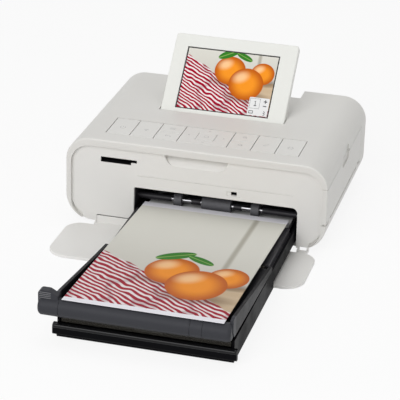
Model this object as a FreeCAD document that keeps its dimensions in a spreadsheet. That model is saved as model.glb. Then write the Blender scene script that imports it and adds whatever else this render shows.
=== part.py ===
import FreeCAD, Part
import math
import os
import re

import Sketcher
from FreeCAD import Placement, Rotation, Vector

# A compact photo printer for postcard sheets, ready for use: screen tilted up, front door
# lying open, paper cassette pushed in, its outer lid folded forward with a print on it.
# Origin: table level, under the middle of the housing's front. +X viewer's right, +Y back, +Z up.

doc = FreeCAD.newDocument("photo_printer")
sheet = doc.addObject("Spreadsheet::Sheet", "Sizes")
values = {}
nodes = []


def sizes(named):
    """Put named lengths in the sheet; a name is its cell's alias and is used in formulas."""
    for name, value in named.items():
        values[name] = value
        row = len(values)
        sheet.set(f"A{row}", name)
        sheet.set(f"B{row}", str(value))
        sheet.setAlias(f"B{row}", name)


def bind(item, prop, formula):
    """Bind one property to a formula of sheet names."""
    def qualified(word):
        return f"Sizes.{word[0]}" if word[0] in values else word[0]
    item.setExpression(prop, re.sub(r"[a-z_]+", qualified, formula))


def box(name, x, y, z):
    """A block between two formulas on each axis."""
    item = doc.addObject("Part::Box", name)
    for prop, axis, (low, high) in (("Length", "x", x), ("Width", "y", y), ("Height", "z", z)):
        bind(item, prop, f"({high})-({low})")
        bind(item, f"Placement.Base.{axis}", low)
    return item


TURNS = {"x": Rotation(Vector(0, 1, 0), 90), "y": Rotation(Vector(1, 0, 0), -90), "z": Rotation()}


def rod(name, axis, centre, span, radius):
    """A cylinder along one axis; centre gives the other two coordinates in X, Y, Z order."""
    item = doc.addObject("Part::Cylinder", name)
    item.Placement = Placement(Vector(), TURNS[axis])
    bind(item, "Radius", radius)
    bind(item, "Height", f"({span[1]})-({span[0]})")
    bind(item, f"Placement.Base.{axis}", span[0])
    for other, formula in zip([a for a in "xyz" if a != axis], centre):
        bind(item, f"Placement.Base.{other}", formula)
    return item


PLANES = {"z": "XY_Plane", "y": "XZ_Plane", "x": "YZ_Plane"}
FLAT_AXES = {"z": ("x", "y"), "y": ("x", "z"), "x": ("y", "z")}


def profile(name, axis, points, span, rounds=None):
    """A sketched outline padded along an axis; rounds maps a corner's number to its radius."""
    body = doc.addObject("PartDesign::Body", name)
    sketch = body.newObject("Sketcher::SketchObject", f"{name}_outline")
    plane = [item for item in body.Origin.OriginFeatures if item.Role == PLANES[axis]][0]
    sketch.AttachmentSupport = (plane, [""])
    sketch.MapMode = "FlatFace"
    count = len(points)
    turn = 2 * math.pi / count
    first = [Vector(math.cos(turn * i), math.sin(turn * i), 0) for i in range(count)]
    for i in range(count):
        sketch.addGeometry(Part.LineSegment(first[i], first[(i + 1) % count]), False)
    for i in range(count):
        sketch.addConstraint(Sketcher.Constraint("Coincident", i, 2, (i + 1) % count, 1))
    for i, (across, along) in enumerate(points):
        for kind, start, formula in (("DistanceX", first[i].x, across), ("DistanceY", first[i].y, along)):
            number = sketch.addConstraint(Sketcher.Constraint(kind, -1, 1, i, 1, start))
            sketch.renameConstraint(number, f"{kind}{i}")
            bind(sketch, f"Constraints.{kind}{i}", formula)
    low, high = span
    bind(sketch, "AttachmentOffset.Base.z", f"-({high})" if axis == "y" else low)
    pad = body.newObject("PartDesign::Pad", f"{name}_pad")
    pad.Profile = sketch
    bind(pad, "Length", f"({high})-({low})")
    pad.recompute(True)
    tip = pad
    for radius in sorted(set((rounds or {}).values())):
        corners = [sketch.Geometry[i].StartPoint for i, r in rounds.items() if r == radius]
        fillet = body.newObject("PartDesign::Fillet", f"{name}_{len(body.Group)}")
        fillet.Base = (tip, [edge for edge in edges_at(tip.Shape, axis, corners)])
        bind(fillet, "Radius", radius)
        fillet.recompute(True)
        tip = fillet
    return body


def edges_at(shape, axis, corners):
    """Names of the straight edges along an axis that stand on the given outline corners."""
    across, along = FLAT_AXES[axis]
    found = []
    for number, edge in enumerate(shape.Edges):
        ends = [vertex.Point for vertex in edge.Vertexes]
        for corner in corners:
            miss = [abs(getattr(p, across) - corner.x) + abs(getattr(p, along) - corner.y) for p in ends]
            if len(ends) == 2 and max(miss) < values["near"]:
                found.append(f"Edge{number + 1}")
    return found


def join(name, *parts):
    item = doc.addObject("Part::MultiFuse", name)
    item.Shapes = list(parts)
    return item


def common(name, *parts):
    item = doc.addObject("Part::MultiCommon", name)
    item.Shapes = list(parts)
    return item


def cut(name, base, *tools):
    item = doc.addObject("Part::Cut", name)
    item.Base = base
    item.Tool = tools[0] if len(tools) == 1 else join(f"{name}_tools", *tools)
    return item


def group(name, *parts):
    """Separate solids of one kind, kept together."""
    item = doc.addObject("Part::Compound", name)
    item.Links = list(parts)
    return item


def soften(name, base, radius, chosen):
    """Round the edges of base that the test picks."""
    base.recompute(True)
    item = doc.addObject("Part::Fillet", name)
    item.Base = base
    amount = values[radius]
    item.Edges = [(i + 1, amount, amount) for i, edge in enumerate(base.Shape.Edges) if chosen(edge)]
    return item


def in_plane(axis, *places):
    """A test for edges that lie wholly at one of the places on an axis."""
    def test(edge):
        box_ = edge.BoundBox
        low, high = getattr(box_, f"{axis.upper()}Min"), getattr(box_, f"{axis.upper()}Max")
        return any(abs(low - place) + abs(high - place) < values["near"] for place in places)
    return test


def place(item, y, z, tilt):
    """Stand an item made around its own pivot at (y, z), turned about X by the named angle."""
    item.Placement = Placement(Vector(), Rotation(Vector(1, 0, 0), 1))
    bind(item, "Placement.Base.y", y)
    bind(item, "Placement.Base.z", z)
    bind(item, "Placement.Rotation.Angle", tilt)
    return item


def node(item, label):
    item.Label = label
    nodes.append(item)
    return item


# Housing: one rounded sleeve that is parted into the top cover, the bottom case and the ink door.
housing_sizes = {"width": 180.6, "depth": 135.9, "height": 63.3, "underside": 2.5, "top_round": 17,
                 "foot_round": 19, "wall": 2.4, "rim_side": 3.5, "rim_top": 5.2, "rim_deep": 2.5,
                 "rim_soft": 1.2, "base_inset": 11.3, "over": 1, "gap": 0.3, "seam": 0.1, "fit": 0.05,
                 "press": 0.02, "near": 0.002}
sizes(housing_sizes)
SIDE = "width/2"
BASE_HALF = f"({SIDE}-base_inset)"
BASE_TOP = "underside+wall"


def sleeve(name, side, top, foot, span):
    """A block with the housing's section, drawn in by formulas at its sides, top and foot."""
    across = f"{SIDE}-({side})"
    points = [(f"-({across})", f"underside+({foot})"), (across, f"underside+({foot})"),
              (across, f"height-({top})"), (f"-({across})", f"height-({top})")]
    low, high = f"foot_round-({side})", f"top_round-({side})"
    return profile(name, "y", points, span, {0: low, 1: low, 2: high, 3: high})


outer = soften("outer_soft", sleeve("outer", "0", "0", "0", ("0", "depth")), "rim_soft",
               in_plane("y", 0, values["depth"]))
cavity = sleeve("cavity", "wall", "wall", "wall", ("rim_deep", "depth-rim_deep"))
front_mouth = sleeve("front_mouth", "rim_side", "rim_top", "0", ("-over", "rim_deep+over"))
rear_mouth = sleeve("rear_mouth", "rim_side", "rim_top", "0", ("depth-rim_deep-over", "depth+over"))
shell = cut("shell", outer, cavity, front_mouth, rear_mouth)

# Keys lie flush in one long opening of the top; under them a board carries a dome switch each.
key_sizes = {"strip_half": 66.65, "key_pitch": 16.5, "key_front": 14, "key_back": 42,
             "key_gap": 0.5, "key_soft": 0.3, "key_thick": 2.2, "key_travel": 0.8,
             "stem_long": 2.2, "stem_radius": 1.5, "ok_half": 6.4, "ring_inset": 3.2,
             "dome_high": 0.6, "dome_radius": 1.6, "switch_high": 1.2, "switch_wide": 5.6,
             "board_thick": 1.6, "board_margin": 2.6, "board_post": 2}
sizes(key_sizes)
KEY_UNDER = "height-key_thick"
DOME_TOP = f"{KEY_UNDER}-stem_long-key_travel-seam"
SWITCH_TOP = f"{DOME_TOP}-dome_high"
BOARD_TOP = f"{SWITCH_TOP}-switch_high"
KEY_MID = "(key_front+key_back)/2"
PAD_HALF = "(strip_half-3*key_pitch)"
switches = []


def key(label, x, y, stems, hole=None):
    """One key cap with its stems; hole leaves room for another key inside it."""
    inset = [(f"{low}+key_gap/2", f"{high}-key_gap/2") for low, high in (x, y)]
    cap = box(f"{label}_cap", inset[0], inset[1], (KEY_UNDER, "height"))
    cap = soften(f"{label}_soft", cap, "key_soft", in_plane("z", values["height"]))
    if hole:
        cap = cut(f"{label}_ring", cap, box(f"{label}_hole", *hole, (f"{KEY_UNDER}-over", "height+over")))
    rods = []
    for number, (across, along) in enumerate(stems):
        span = (f"{KEY_UNDER}-stem_long", f"{KEY_UNDER}+seam")
        rods.append(rod(f"{label}_stem{number}", "z", (across, along), span, "stem_radius"))
        half = "switch_wide/2"
        case = box(f"{label}_case{number}", (f"{across}-{half}", f"{across}+{half}"),
                   (f"{along}-{half}", f"{along}+{half}"), (BOARD_TOP, SWITCH_TOP))
        dome = rod(f"{label}_dome{number}", "z", (across, along), (SWITCH_TOP, DOME_TOP), "dome_radius")
        switches.append(join(f"{label}_switch{number}", case, dome))
    return node(join(f"{label}_key", cap, *rods), label)


def column(from_left):
    """The x span of a key column, counted from the strip's left end."""
    return f"-strip_half+key_pitch*{from_left}", f"-strip_half+key_pitch*{from_left + 1}"


def mirrored(span):
    return f"-({span[1]})", f"-({span[0]})"


def middle(span):
    return f"(({span[0]})+({span[1]}))/2"


FULL, FRONT, BACK = ("key_front", "key_back"), ("key_front", KEY_MID), (KEY_MID, "key_back")
KEYS = {"power_key": (column(0), FULL), "wireless_key": (column(1), FULL),
        "menu_key": (column(2), BACK), "back_key": (column(2), FRONT),
        "zoom_in_key": (mirrored(column(2)), BACK), "zoom_out_key": (mirrored(column(2)), FRONT),
        "edit_key": (mirrored(column(1)), FULL), "print_key": (mirrored(column(0)), FULL)}
for label, (x, y) in KEYS.items():
    key(label, x, y, [(middle(x), middle(y))])
ok_span = ("-ok_half", "ok_half")
ok_depth = (f"{KEY_MID}-ok_half", f"{KEY_MID}+ok_half")
side_stem = f"({PAD_HALF}-ring_inset)"
key("four_way_pad", (f"-{PAD_HALF}", PAD_HALF), FULL,
    [("0", "key_front+ring_inset"), ("0", "key_back-ring_inset"), (f"-{side_stem}", KEY_MID),
     (side_stem, KEY_MID)], (ok_span, ok_depth))
key("ok_key", ok_span, ok_depth, [("0", KEY_MID)])
BOARD_X = ("-strip_half-board_margin", "strip_half+board_margin")
BOARD_Y = ("key_front-board_margin", "key_back+board_margin")
key_board = box("key_board_blank", BOARD_X, BOARD_Y, (f"{BOARD_TOP}-board_thick", BOARD_TOP))
node(join("key_board_solid", key_board, *switches), "key_board")
key_opening = box("key_opening", ("-strip_half-key_gap/2", "strip_half+key_gap/2"),
                  ("key_front-key_gap/2", "key_back+key_gap/2"), ("height-wall-over", "height+over"))
board_posts = [rod(f"board_post{i}", "z", (x, y), (BOARD_TOP, "height-wall+seam"), "board_post")
               for i, (x, y) in enumerate((x, y) for x in (f"{BOARD_X[0]}+board_post/2", f"{BOARD_X[1]}-board_post/2")
                                          for y in (f"{BOARD_Y[0]}+board_post/2", f"{BOARD_Y[1]}-board_post/2"))]

# Ink door: the right wall's lower part, front rim included, turning down on two pins at its foot.
ink_door_sizes = {"ink_low": 21.8, "ink_top": 47.7, "ink_back": 118, "ink_pin": 0.6,
                  "ink_pin_long": 12, "knuckle_long": 6, "knuckle_front": 8, "knuckle_back": 104,
                  "grip_front": 51, "grip_back": 74, "grip_high": 5.6, "grip_deep": 1.5,
                  "grip_round": 2.4}
sizes(ink_door_sizes)
INK_X, INK_Z = "(width/2-wall/2)", "(ink_low+wall/2)"
ink_region = box("ink_region", (f"{SIDE}-rim_side-over", f"{SIDE}+over"), ("-over", "ink_back"),
                 (INK_Z, "ink_top"))
ink_edge = rod("ink_edge", "y", (INK_X, INK_Z), ("rim_soft", "ink_back"), "wall/2")
ink_plate = join("ink_plate", common("ink_wall", shell, ink_region), ink_edge)
ink_opening = box("ink_opening", (f"{SIDE}-rim_side-over", f"{SIDE}+over"), ("-over", "ink_back+gap"),
                  ("ink_low-gap", "ink_top+gap"))
grip = profile("grip", "x", [("grip_front", "ink_top-grip_high"), ("grip_back", "ink_top-grip_high"),
                             ("grip_back", "ink_top+grip_high"), ("grip_front", "ink_top+grip_high")],
               (f"{SIDE}-grip_deep", f"{SIDE}+over"), {i: "grip_round" for i in range(4)})
notches, pin_bores, knuckles, ink_pins = [], [], [], []
for i, start in enumerate(("knuckle_front", "knuckle_back")):
    end = f"{start}+knuckle_long"
    pin_span = (f"{start}+knuckle_long/2-ink_pin_long/2", f"{start}+knuckle_long/2+ink_pin_long/2")
    notches.append(box(f"ink_notch{i}", (f"{SIDE}-rim_side-over", f"{SIDE}+over"),
                       (f"{start}-gap", f"{end}+gap"), ("ink_low-over", f"{INK_Z}+wall/2+gap")))
    knuckles.append(rod(f"ink_knuckle{i}", "y", (INK_X, INK_Z), (start, end), "wall/2"))
    knuckles.append(box(f"ink_link{i}", (f"{SIDE}-wall", SIDE), (start, end), ("ink_low-over", INK_Z)))
    pin_bores.append(rod(f"ink_bore{i}", "y", (INK_X, INK_Z), (f"{start}-over", f"{end}+over"), "ink_pin+fit"))
    ink_pins.append(rod(f"ink_pin{i}", "y", (INK_X, INK_Z), pin_span, "ink_pin"))
node(join("ink_door_solid", cut("ink_door_plate", ink_plate, grip, *notches), *ink_pins), "ink_door")

# Screen recess in the top, open at the rear; the screen's pins turn in its side walls.
recess_sizes = {"recess_wide": 89.6, "recess_front": 67.2, "recess_floor": 57.1, "recess_wall": 2,
                "screen_back": 71.1, "screen_high": 60, "screen_tilt": 46, "screen_pin": 1}
sizes(recess_sizes)
RECESS_X = ("-recess_wide/2", "recess_wide/2")
BLOCK_X = ("-recess_wide/2-recess_wall", "recess_wide/2+recess_wall")
recess_block = box("recess_block", BLOCK_X, ("recess_front-recess_wall", "depth"),
                   ("recess_floor-recess_wall", "height-wall/2"))
recess = box("recess", RECESS_X, ("recess_front", "depth+over"), ("recess_floor", "height+over"))
screen_bore = rod("screen_bore", "x", ("screen_back", "screen_high"),
                  (f"{BLOCK_X[0]}-over", f"{BLOCK_X[1]}+over"), "screen_pin+fit")

# Case screws come up through the bottom case into long posts of the top cover.
screw_sizes = {"screw_inset": 14.8, "screw_front": 10, "screw_rear": 124, "post_radius": 3,
               "post_foot": 7.5, "post_top": 61.2, "boss_radius": 3.3, "boss_low": 4.2,
               "seat_high": 5.2, "head_radius": 2.6, "head_high": 1.5, "shank_radius": 1.2,
               "shank_long": 9}
sizes(screw_sizes)
SCREW_X = f"({SIDE}-screw_inset)"
SCREWS = [(x, y) for x in (f"-{SCREW_X}", SCREW_X) for y in ("screw_front", "screw_rear")]
posts, pilots, bosses, counterbores, screws = [], [], [], [], []
for i, spot in enumerate(SCREWS):
    posts.append(rod(f"post{i}", "z", spot, ("post_foot", "post_top"), "post_radius"))
    pilots.append(rod(f"pilot{i}", "z", spot, ("post_foot-over", "seat_high+shank_long+over"), "shank_radius+press"))
    bosses.append(rod(f"boss{i}", "z", spot, ("boss_low", "post_foot-seam"), "boss_radius"))
    counterbores.append(rod(f"counterbore{i}", "z", spot, ("-over", "seat_high"), "head_radius+gap"))
    counterbores.append(rod(f"screw_way{i}", "z", spot, ("0", "post_foot+over"), "shank_radius+gap"))
    head = rod(f"screw_head{i}", "z", spot, ("seat_high-head_high", "seat_high"), "head_radius")
    shank = rod(f"screw_shank{i}", "z", spot, ("seat_high-seam", "seat_high+shank_long"), "shank_radius")
    screws.append(join(f"screw{i}", head, shank))
node(group("screw_group", *screws), "case_screws")

cover_blank = cut("cover_blank", shell, ink_opening, key_opening, grip,
                  box("base_gap", (f"-{BASE_HALF}", BASE_HALF), ("-over", "depth+over"), ("0", "foot_round/2")))
cover_full = join("cover_full", cover_blank, recess_block, *posts, *board_posts, *knuckles)
pillar_sizes = {"pillar": 2.5, "pillar_inset": 10.3, "pillar_back": 60, "pillar_top": 60.5,
                "main_z": 43}
sizes(pillar_sizes)
MAIN_TOP = "main_z+board_thick"
cover_full = join("cover_pillared", cover_full,
                  rod("pillar_rod", "z", (f"-({SIDE}-pillar_inset)", "pillar_back"), (MAIN_TOP, "pillar_top"), "pillar"))
node(cut("top_cover_solid", cover_full, recess, screen_bore, *pilots, *pin_bores), "top_cover")

# Feet: rubber discs in shallow pockets of the bottom case.
foot_sizes = {"foot_inset": 28.3, "foot_front": 17, "foot_rear": 121, "foot_radius": 5,
              "foot_deep": 0.6}
sizes(foot_sizes)
FOOT_X = f"({SIDE}-foot_inset)"
FEET = [(x, y) for x in (f"-{FOOT_X}", FOOT_X) for y in ("foot_front", "foot_rear")]
feet = [rod(f"foot{i}", "z", spot, ("0", "underside+foot_deep"), "foot_radius") for i, spot in enumerate(FEET)]
pockets = [rod(f"foot_pocket{i}", "z", spot, ("0", "underside+foot_deep"), "foot_radius+seam")
           for i, spot in enumerate(FEET)]
node(group("foot_group", *[soften(f"foot_soft{i}", foot, "key_soft", in_plane("z", 0))
                           for i, foot in enumerate(feet)]), "rubber_feet")

# Front panel, set back inside the rim: card slot, finger scoop, latch hole, cassette opening.
panel_sizes = {"panel_thick": 2.5, "slot_left": -66.3, "slot_right": -41, "slot_low": 46.6,
               "slot_top": 50.3, "slot_step": 4, "slot_step_high": 1.7, "mouth_mid": 13.7,
               "mouth_wide": 113, "mouth_top": 30.9, "mouth_round": 4, "mouth_small": 1,
               "scoop_half": 21.8, "scoop_low": 49.6, "scoop_deep": 7, "scoop_round": 8,
               "scoop_wall": 1.6, "latch_x": 26.3, "latch_z": 35.3, "latch_wide": 4,
               "latch_high": 3.1, "latch_frame": 9.4, "latch_deep": 0.8, "ledge_left": -40.3,
               "ledge_right": 66.7, "ledge_z": 39.6, "ledge_high": 0.6, "ledge_deep": 0.5}
sizes(panel_sizes)
PANEL_BACK = "rim_deep+panel_thick"
PANEL_Y = ("rim_deep", PANEL_BACK)
THROUGH_Y = ("rim_deep-over", f"{PANEL_BACK}+over")
MOUTH_LEFT, MOUTH_RIGHT = "(mouth_mid-mouth_wide/2)", "(mouth_mid+mouth_wide/2)"
SCOOP_TOP = "height-rim_top"

# Front door pivot: two short knuckles under the panel, turning between lugs of the panel.
pivot_sizes = {"pivot_back": 0.8, "pivot_high": 1, "pivot_pin": 0.5, "lug_thick": 1.2,
               "lug_top": 7.2, "tongue_left": -68.7, "tongue_right": -46, "stub_left": 72.8,
               "stub_right": 77.4, "stub_top": 3.6}
sizes(pivot_sizes)
TONGUES = [("tongue_left", "tongue_right", "lug_top"), ("stub_left", "stub_right", "stub_top")]
lugs, lug_bores, root_cuts, door_pins = [], [], [], []
for i, (left, right, top) in enumerate(TONGUES):
    root_cuts.append(box(f"root_cut{i}", (f"{left}-gap", f"{right}+gap"), THROUGH_Y, ("0", top)))
    for side, inner, outer_ in (("a", f"{left}-gap", f"{left}-gap-lug_thick"),
                                ("b", f"{right}+gap", f"{right}+gap+lug_thick")):
        span = (outer_, inner) if side == "a" else (inner, outer_)
        lugs.append(rod(f"lug_round{i}{side}", "x", ("pivot_back", "pivot_high"), span, "pivot_high-seam"))
        lugs.append(box(f"lug_arm{i}{side}", span, ("pivot_back", PANEL_BACK), ("seam", "pivot_high*2-seam")))
        lugs.append(box(f"lug_rise{i}{side}", span, PANEL_Y, ("seam", "lug_top")))
    span = (f"{left}-gap-lug_thick", f"{right}+gap+lug_thick")
    lug_bores.append(rod(f"lug_bore{i}", "x", ("pivot_back", "pivot_high"), (f"{span[0]}-over", f"{span[1]}+over"),
                         "pivot_pin+fit"))
    door_pins.append(rod(f"door_pin{i}", "x", ("pivot_back", "pivot_high"), span, "pivot_pin"))

panel_plate = sleeve("panel_plate", "wall+seam", "wall+seam", "wall", PANEL_Y)
panel_foot = box("panel_foot", (f"-{BASE_HALF}+seam", f"{BASE_HALF}-seam"), PANEL_Y, ("0", "foot_round/2"))
panel_blank = common("panel_blank", outer, join("panel_whole", panel_plate, panel_foot))
slot = box("slot_long", ("slot_left", "slot_right-slot_step"), THROUGH_Y, ("slot_low", "slot_top"))
slot_end = box("slot_end", ("slot_right-slot_step-seam", "slot_right"), THROUGH_Y,
               ("slot_low+slot_step_high", "slot_top"))
mouth = profile("mouth", "y", [(MOUTH_LEFT, "0"), (MOUTH_RIGHT, "0"), (MOUTH_RIGHT, "mouth_top"),
                               (MOUTH_LEFT, "mouth_top")], THROUGH_Y, {2: "mouth_round", 3: "mouth_small"})
scoop_cup = box("scoop_cup", ("-scoop_half-scoop_wall", "scoop_half+scoop_wall"),
                ("rim_deep", "rim_deep+scoop_deep+scoop_wall"),
                ("scoop_low+scoop_wall", "height-wall-seam"))
scoop_face = profile("scoop_face", "y", [("-scoop_half", "scoop_low"), ("scoop_half", "scoop_low"),
                                         ("scoop_half", f"{SCOOP_TOP}+over"), ("-scoop_half", f"{SCOOP_TOP}+over")],
                     ("rim_deep-over", "rim_deep+scoop_deep+over"), {0: "scoop_round", 1: "scoop_round"})
scoop_slope = profile("scoop_slope", "x", [("rim_deep-over", "scoop_low"), ("rim_deep", "scoop_low"),
                                           ("rim_deep+scoop_deep", SCOOP_TOP), ("rim_deep+scoop_deep", f"{SCOOP_TOP}+seam"),
                                           ("rim_deep-over", f"{SCOOP_TOP}+seam")],
                      ("-scoop_half-over", "scoop_half+over"))
scoop = common("scoop", scoop_face, scoop_slope)
latch_hole = box("latch_hole", ("latch_x-latch_wide/2", "latch_x+latch_wide/2"), THROUGH_Y,
                 ("latch_z-latch_high/2", "latch_z+latch_high/2"))
latch_recess = box("latch_recess", ("latch_x-latch_frame/2", "latch_x+latch_frame/2"),
                   ("rim_deep-over", "rim_deep+latch_deep"),
                   ("latch_z-latch_high/2-gap", "latch_z+latch_high/2"))
ledge = box("ledge", ("ledge_left", "ledge_right"), ("rim_deep-over", "rim_deep+ledge_deep"),
            ("ledge_z-ledge_high/2", "ledge_z+ledge_high/2"))
panel_cut = cut("panel_cut", join("panel_scooped", panel_blank, scoop_cup), slot, slot_end, mouth, scoop,
                latch_hole, latch_recess, ledge, *root_cuts)
node(cut("front_panel_solid", join("panel_lugged", panel_cut, *lugs), *lug_bores), "front_panel")

# Front door, lying on the table: a flat plate with the front mouth's outline, hooked to the latch hole.
door_sizes = {"door_thick": 2, "door_near": 3, "door_near_round": 11, "door_soft": 0.4,
              "hook_wide": 3, "hook_long": 1.4, "hook_high": 2}
sizes(door_sizes)
DOOR_HALF = f"({SIDE}-rim_side-gap)"
DOOR_FAR = "(height-rim_top-gap-pivot_back-pivot_high)"
door_plate = profile("door_plate", "z", [(f"-{DOOR_HALF}", f"-{DOOR_FAR}"), (DOOR_HALF, f"-{DOOR_FAR}"),
                                         (DOOR_HALF, "-door_near"), (f"-{DOOR_HALF}", "-door_near")],
                     ("0", "door_thick"), {0: "top_round-rim_side", 1: "top_round-rim_side",
                                           2: "door_near_round", 3: "door_near_round"})
door_plate = soften("door_soft_plate", door_plate, "door_soft", in_plane("z", 0, values["door_thick"]))
door_parts = []
for i, (left, right, top) in enumerate(TONGUES):
    door_parts.append(box(f"tongue{i}", (left, right), ("-door_near-over", "pivot_back"), ("0", "pivot_high*2")))
    door_parts.append(rod(f"door_knuckle{i}", "x", ("pivot_back", "pivot_high"), (left, right), "pivot_high"))
HOOK_Y = "(latch_z-pivot_back-pivot_high)"
door_parts.append(box("door_hook", ("latch_x-hook_wide/2", "latch_x+hook_wide/2"),
                      (f"-{HOOK_Y}-hook_long/2", f"-{HOOK_Y}+hook_long/2"), ("seam", "door_thick+hook_high")))
node(join("front_door_solid", door_plate, *door_parts, *door_pins), "front_door")

# Rear panel, typical of the kind: paper slot, air vents, data port and power inlet holes.
rear_sizes = {"rear_slot_low": 22, "rear_slot_high": 6, "rear_slot_half": 52, "vent_long": 3,
              "vent_high": 14, "vent_pitch": 6, "vent_left": -38, "vent_low": 34,
              "hook_slot_wide": 7, "hook_slot_high": 3}
sizes(rear_sizes)
REAR_Y = ("depth-rim_deep-panel_thick", "depth-rim_deep")
REAR_THROUGH = ("depth-rim_deep-panel_thick-over", "depth-rim_deep+over")
VENTS = 9

# Main board over the motors; the card socket sits on its front end, the rear ports on its back end.
board_sizes = {"main_inset": 5.3, "main_right": -50.2, "main_front": 14.5, "main_rear": 119.5,
               "arm_right": -38, "arm_back": 33, "tail_left": -71.5, "tail_back": 130,
               "socket_left": -68, "socket_right": -39.5, "socket_back": 31, "socket_top": 51.9,
               "socket_wall": 0.6, "card_deep": 24, "port_left": -70, "port_wide": 8.4,
               "port_high": 3.2, "port_front": 119, "port_back": 132.4, "inlet_x": -55.5,
               "inlet_half": 4, "inlet_high": 8.4, "inlet_bore": 2.8, "inlet_deep": 9,
               "waist": -58, "waist_front": 87, "waist_back": 113}
sizes(board_sizes)
MAIN_LEFT = f"-({SIDE}-main_inset)"
node(profile("main_board_blank", "z", [(MAIN_LEFT, "main_front"), ("arm_right", "main_front"),
                                       ("arm_right", "arm_back"), ("main_right", "arm_back"),
                                       ("main_right", "waist_front"), ("waist", "waist_front"),
                                       ("waist", "waist_back"), ("main_right", "waist_back"),
                                       ("main_right", "tail_back"), ("tail_left", "tail_back"),
                                       ("tail_left", "main_rear"), (MAIN_LEFT, "main_rear")],
             ("main_z", MAIN_TOP)), "main_board")
SOCKET_X = ("socket_left", "socket_right")
socket_block = box("socket_block", SOCKET_X, (f"{PANEL_BACK}+gap", "socket_back"), (MAIN_TOP, "socket_top"))
card_way = box("card_way", ("slot_left-socket_wall/2", "slot_right+socket_wall/2"),
               (f"{PANEL_BACK}-over", f"{PANEL_BACK}+card_deep"), ("slot_low-socket_wall/2", "slot_top+socket_wall/2"))
node(cut("card_socket_solid", socket_block, card_way), "card_socket")
PORT_X = ("port_left", "port_left+port_wide")
port_block = box("port_block", PORT_X, ("port_front", "port_back"), (MAIN_TOP, f"{MAIN_TOP}+port_high"))
port_way = box("port_way", ("port_left+socket_wall", "port_left+port_wide-socket_wall"),
               ("port_back-inlet_deep", "port_back+over"),
               (f"{MAIN_TOP}+socket_wall", f"{MAIN_TOP}+port_high-socket_wall"))
data_port = cut("data_port", port_block, port_way)
INLET_X = ("inlet_x-inlet_half", "inlet_x+inlet_half")
inlet_block = box("inlet_block", INLET_X, ("port_front", "port_back"), (MAIN_TOP, f"{MAIN_TOP}+inlet_high"))
inlet_way = rod("inlet_way", "y", ("inlet_x", f"{MAIN_TOP}+inlet_high/2"), ("port_back-inlet_deep", "port_back+over"),
                "inlet_bore")
inlet_pin = rod("inlet_pin", "y", ("inlet_x", f"{MAIN_TOP}+inlet_high/2"),
                ("port_back-inlet_deep-over", "port_back-over"), "inlet_bore/4")
power_inlet = join("power_inlet", cut("inlet_open", inlet_block, inlet_way), inlet_pin)
node(group("rear_socket_group", data_port, power_inlet), "rear_sockets")

rear_plate = sleeve("rear_plate", "wall+seam", "wall+seam", "wall", REAR_Y)
rear_foot = box("rear_foot", (f"-{BASE_HALF}+seam", f"{BASE_HALF}-seam"), REAR_Y, ("0", "foot_round/2"))
rear_blank = common("rear_blank", outer, join("rear_whole", rear_plate, rear_foot))
paper_sizes = {"print_mid": 13.9}
sizes(paper_sizes)
rear_slot = box("rear_slot", ("print_mid-rear_slot_half", "print_mid+rear_slot_half"), REAR_THROUGH,
                ("rear_slot_low", "rear_slot_low+rear_slot_high"))
rear_cuts = [rear_slot,
             box("rear_top_gap", (f"{BLOCK_X[0]}-seam", f"{BLOCK_X[1]}+seam"), REAR_THROUGH,
                 ("recess_floor-recess_wall-seam", "height")),
             box("rear_port_hole", (f"{PORT_X[0]}-gap", f"{PORT_X[1]}+gap"), REAR_THROUGH,
                 (f"{MAIN_TOP}-gap", f"{MAIN_TOP}+port_high+gap")),
             box("rear_inlet_hole", (f"{INLET_X[0]}-gap", f"{INLET_X[1]}+gap"), REAR_THROUGH,
                 (f"{MAIN_TOP}-gap", f"{MAIN_TOP}+inlet_high+gap")),
             box("rear_hook_slot", (f"{SCREW_X}-hook_slot_wide/2", f"{SCREW_X}+hook_slot_wide/2"), REAR_THROUGH,
                 ("main_z", "main_z+hook_slot_high"))]
for i in range(VENTS):
    left = f"vent_left+vent_pitch*{i}"
    rear_cuts.append(box(f"vent{i}", (left, f"{left}+vent_long"), REAR_THROUGH, ("vent_low", "vent_low+vent_high")))
node(cut("rear_panel_solid", rear_blank, *rear_cuts), "rear_panel")

# Chassis: a floor and two steel side plates that carry the rollers, the head and the motors.
chassis_sizes = {"chassis_front": 34.4, "chassis_back": 118, "chassis_low": 6.5, "chassis_top": 54,
                 "plate_thick": 1.2, "plate_left": -48, "plate_right": 73, "ear_front": 43.8,
                 "ear_top": 32, "plate_top": 23.8, "ear_back": 111.9, "chassis_boss": 4,
                 "boss_inset": 9}
sizes(chassis_sizes)
LEFT_X = ("plate_left-plate_thick", "plate_left")
RIGHT_X = ("plate_right", "plate_right+plate_thick")
CHASSIS_Y = ("chassis_front", "chassis_back")
chassis_floor = box("floor_blank", ("plate_left", "plate_right"), CHASSIS_Y,
                    ("chassis_low", "chassis_low+plate_thick"))
chassis_bosses = [rod(f"chassis_boss{i}", "z", (x, y), (f"{BASE_TOP}-seam", "chassis_low"), "chassis_boss")
                  for i, (x, y) in enumerate((x, y) for x in ("plate_left+boss_inset", "plate_right-boss_inset")
                                             for y in ("chassis_front+boss_inset", "chassis_back-boss_inset"))]
base_region = box("base_region", (f"-{BASE_HALF}+seam", f"{BASE_HALF}-seam"),
                  (f"{PANEL_BACK}+seam", "depth-rim_deep-panel_thick-seam"), ("0", "foot_round/2"))
base_whole = join("base_whole", common("base_wall", shell, base_region), *bosses, *chassis_bosses)
node(cut("bottom_case_solid", base_whole, *counterbores, *pockets), "bottom_case")

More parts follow.
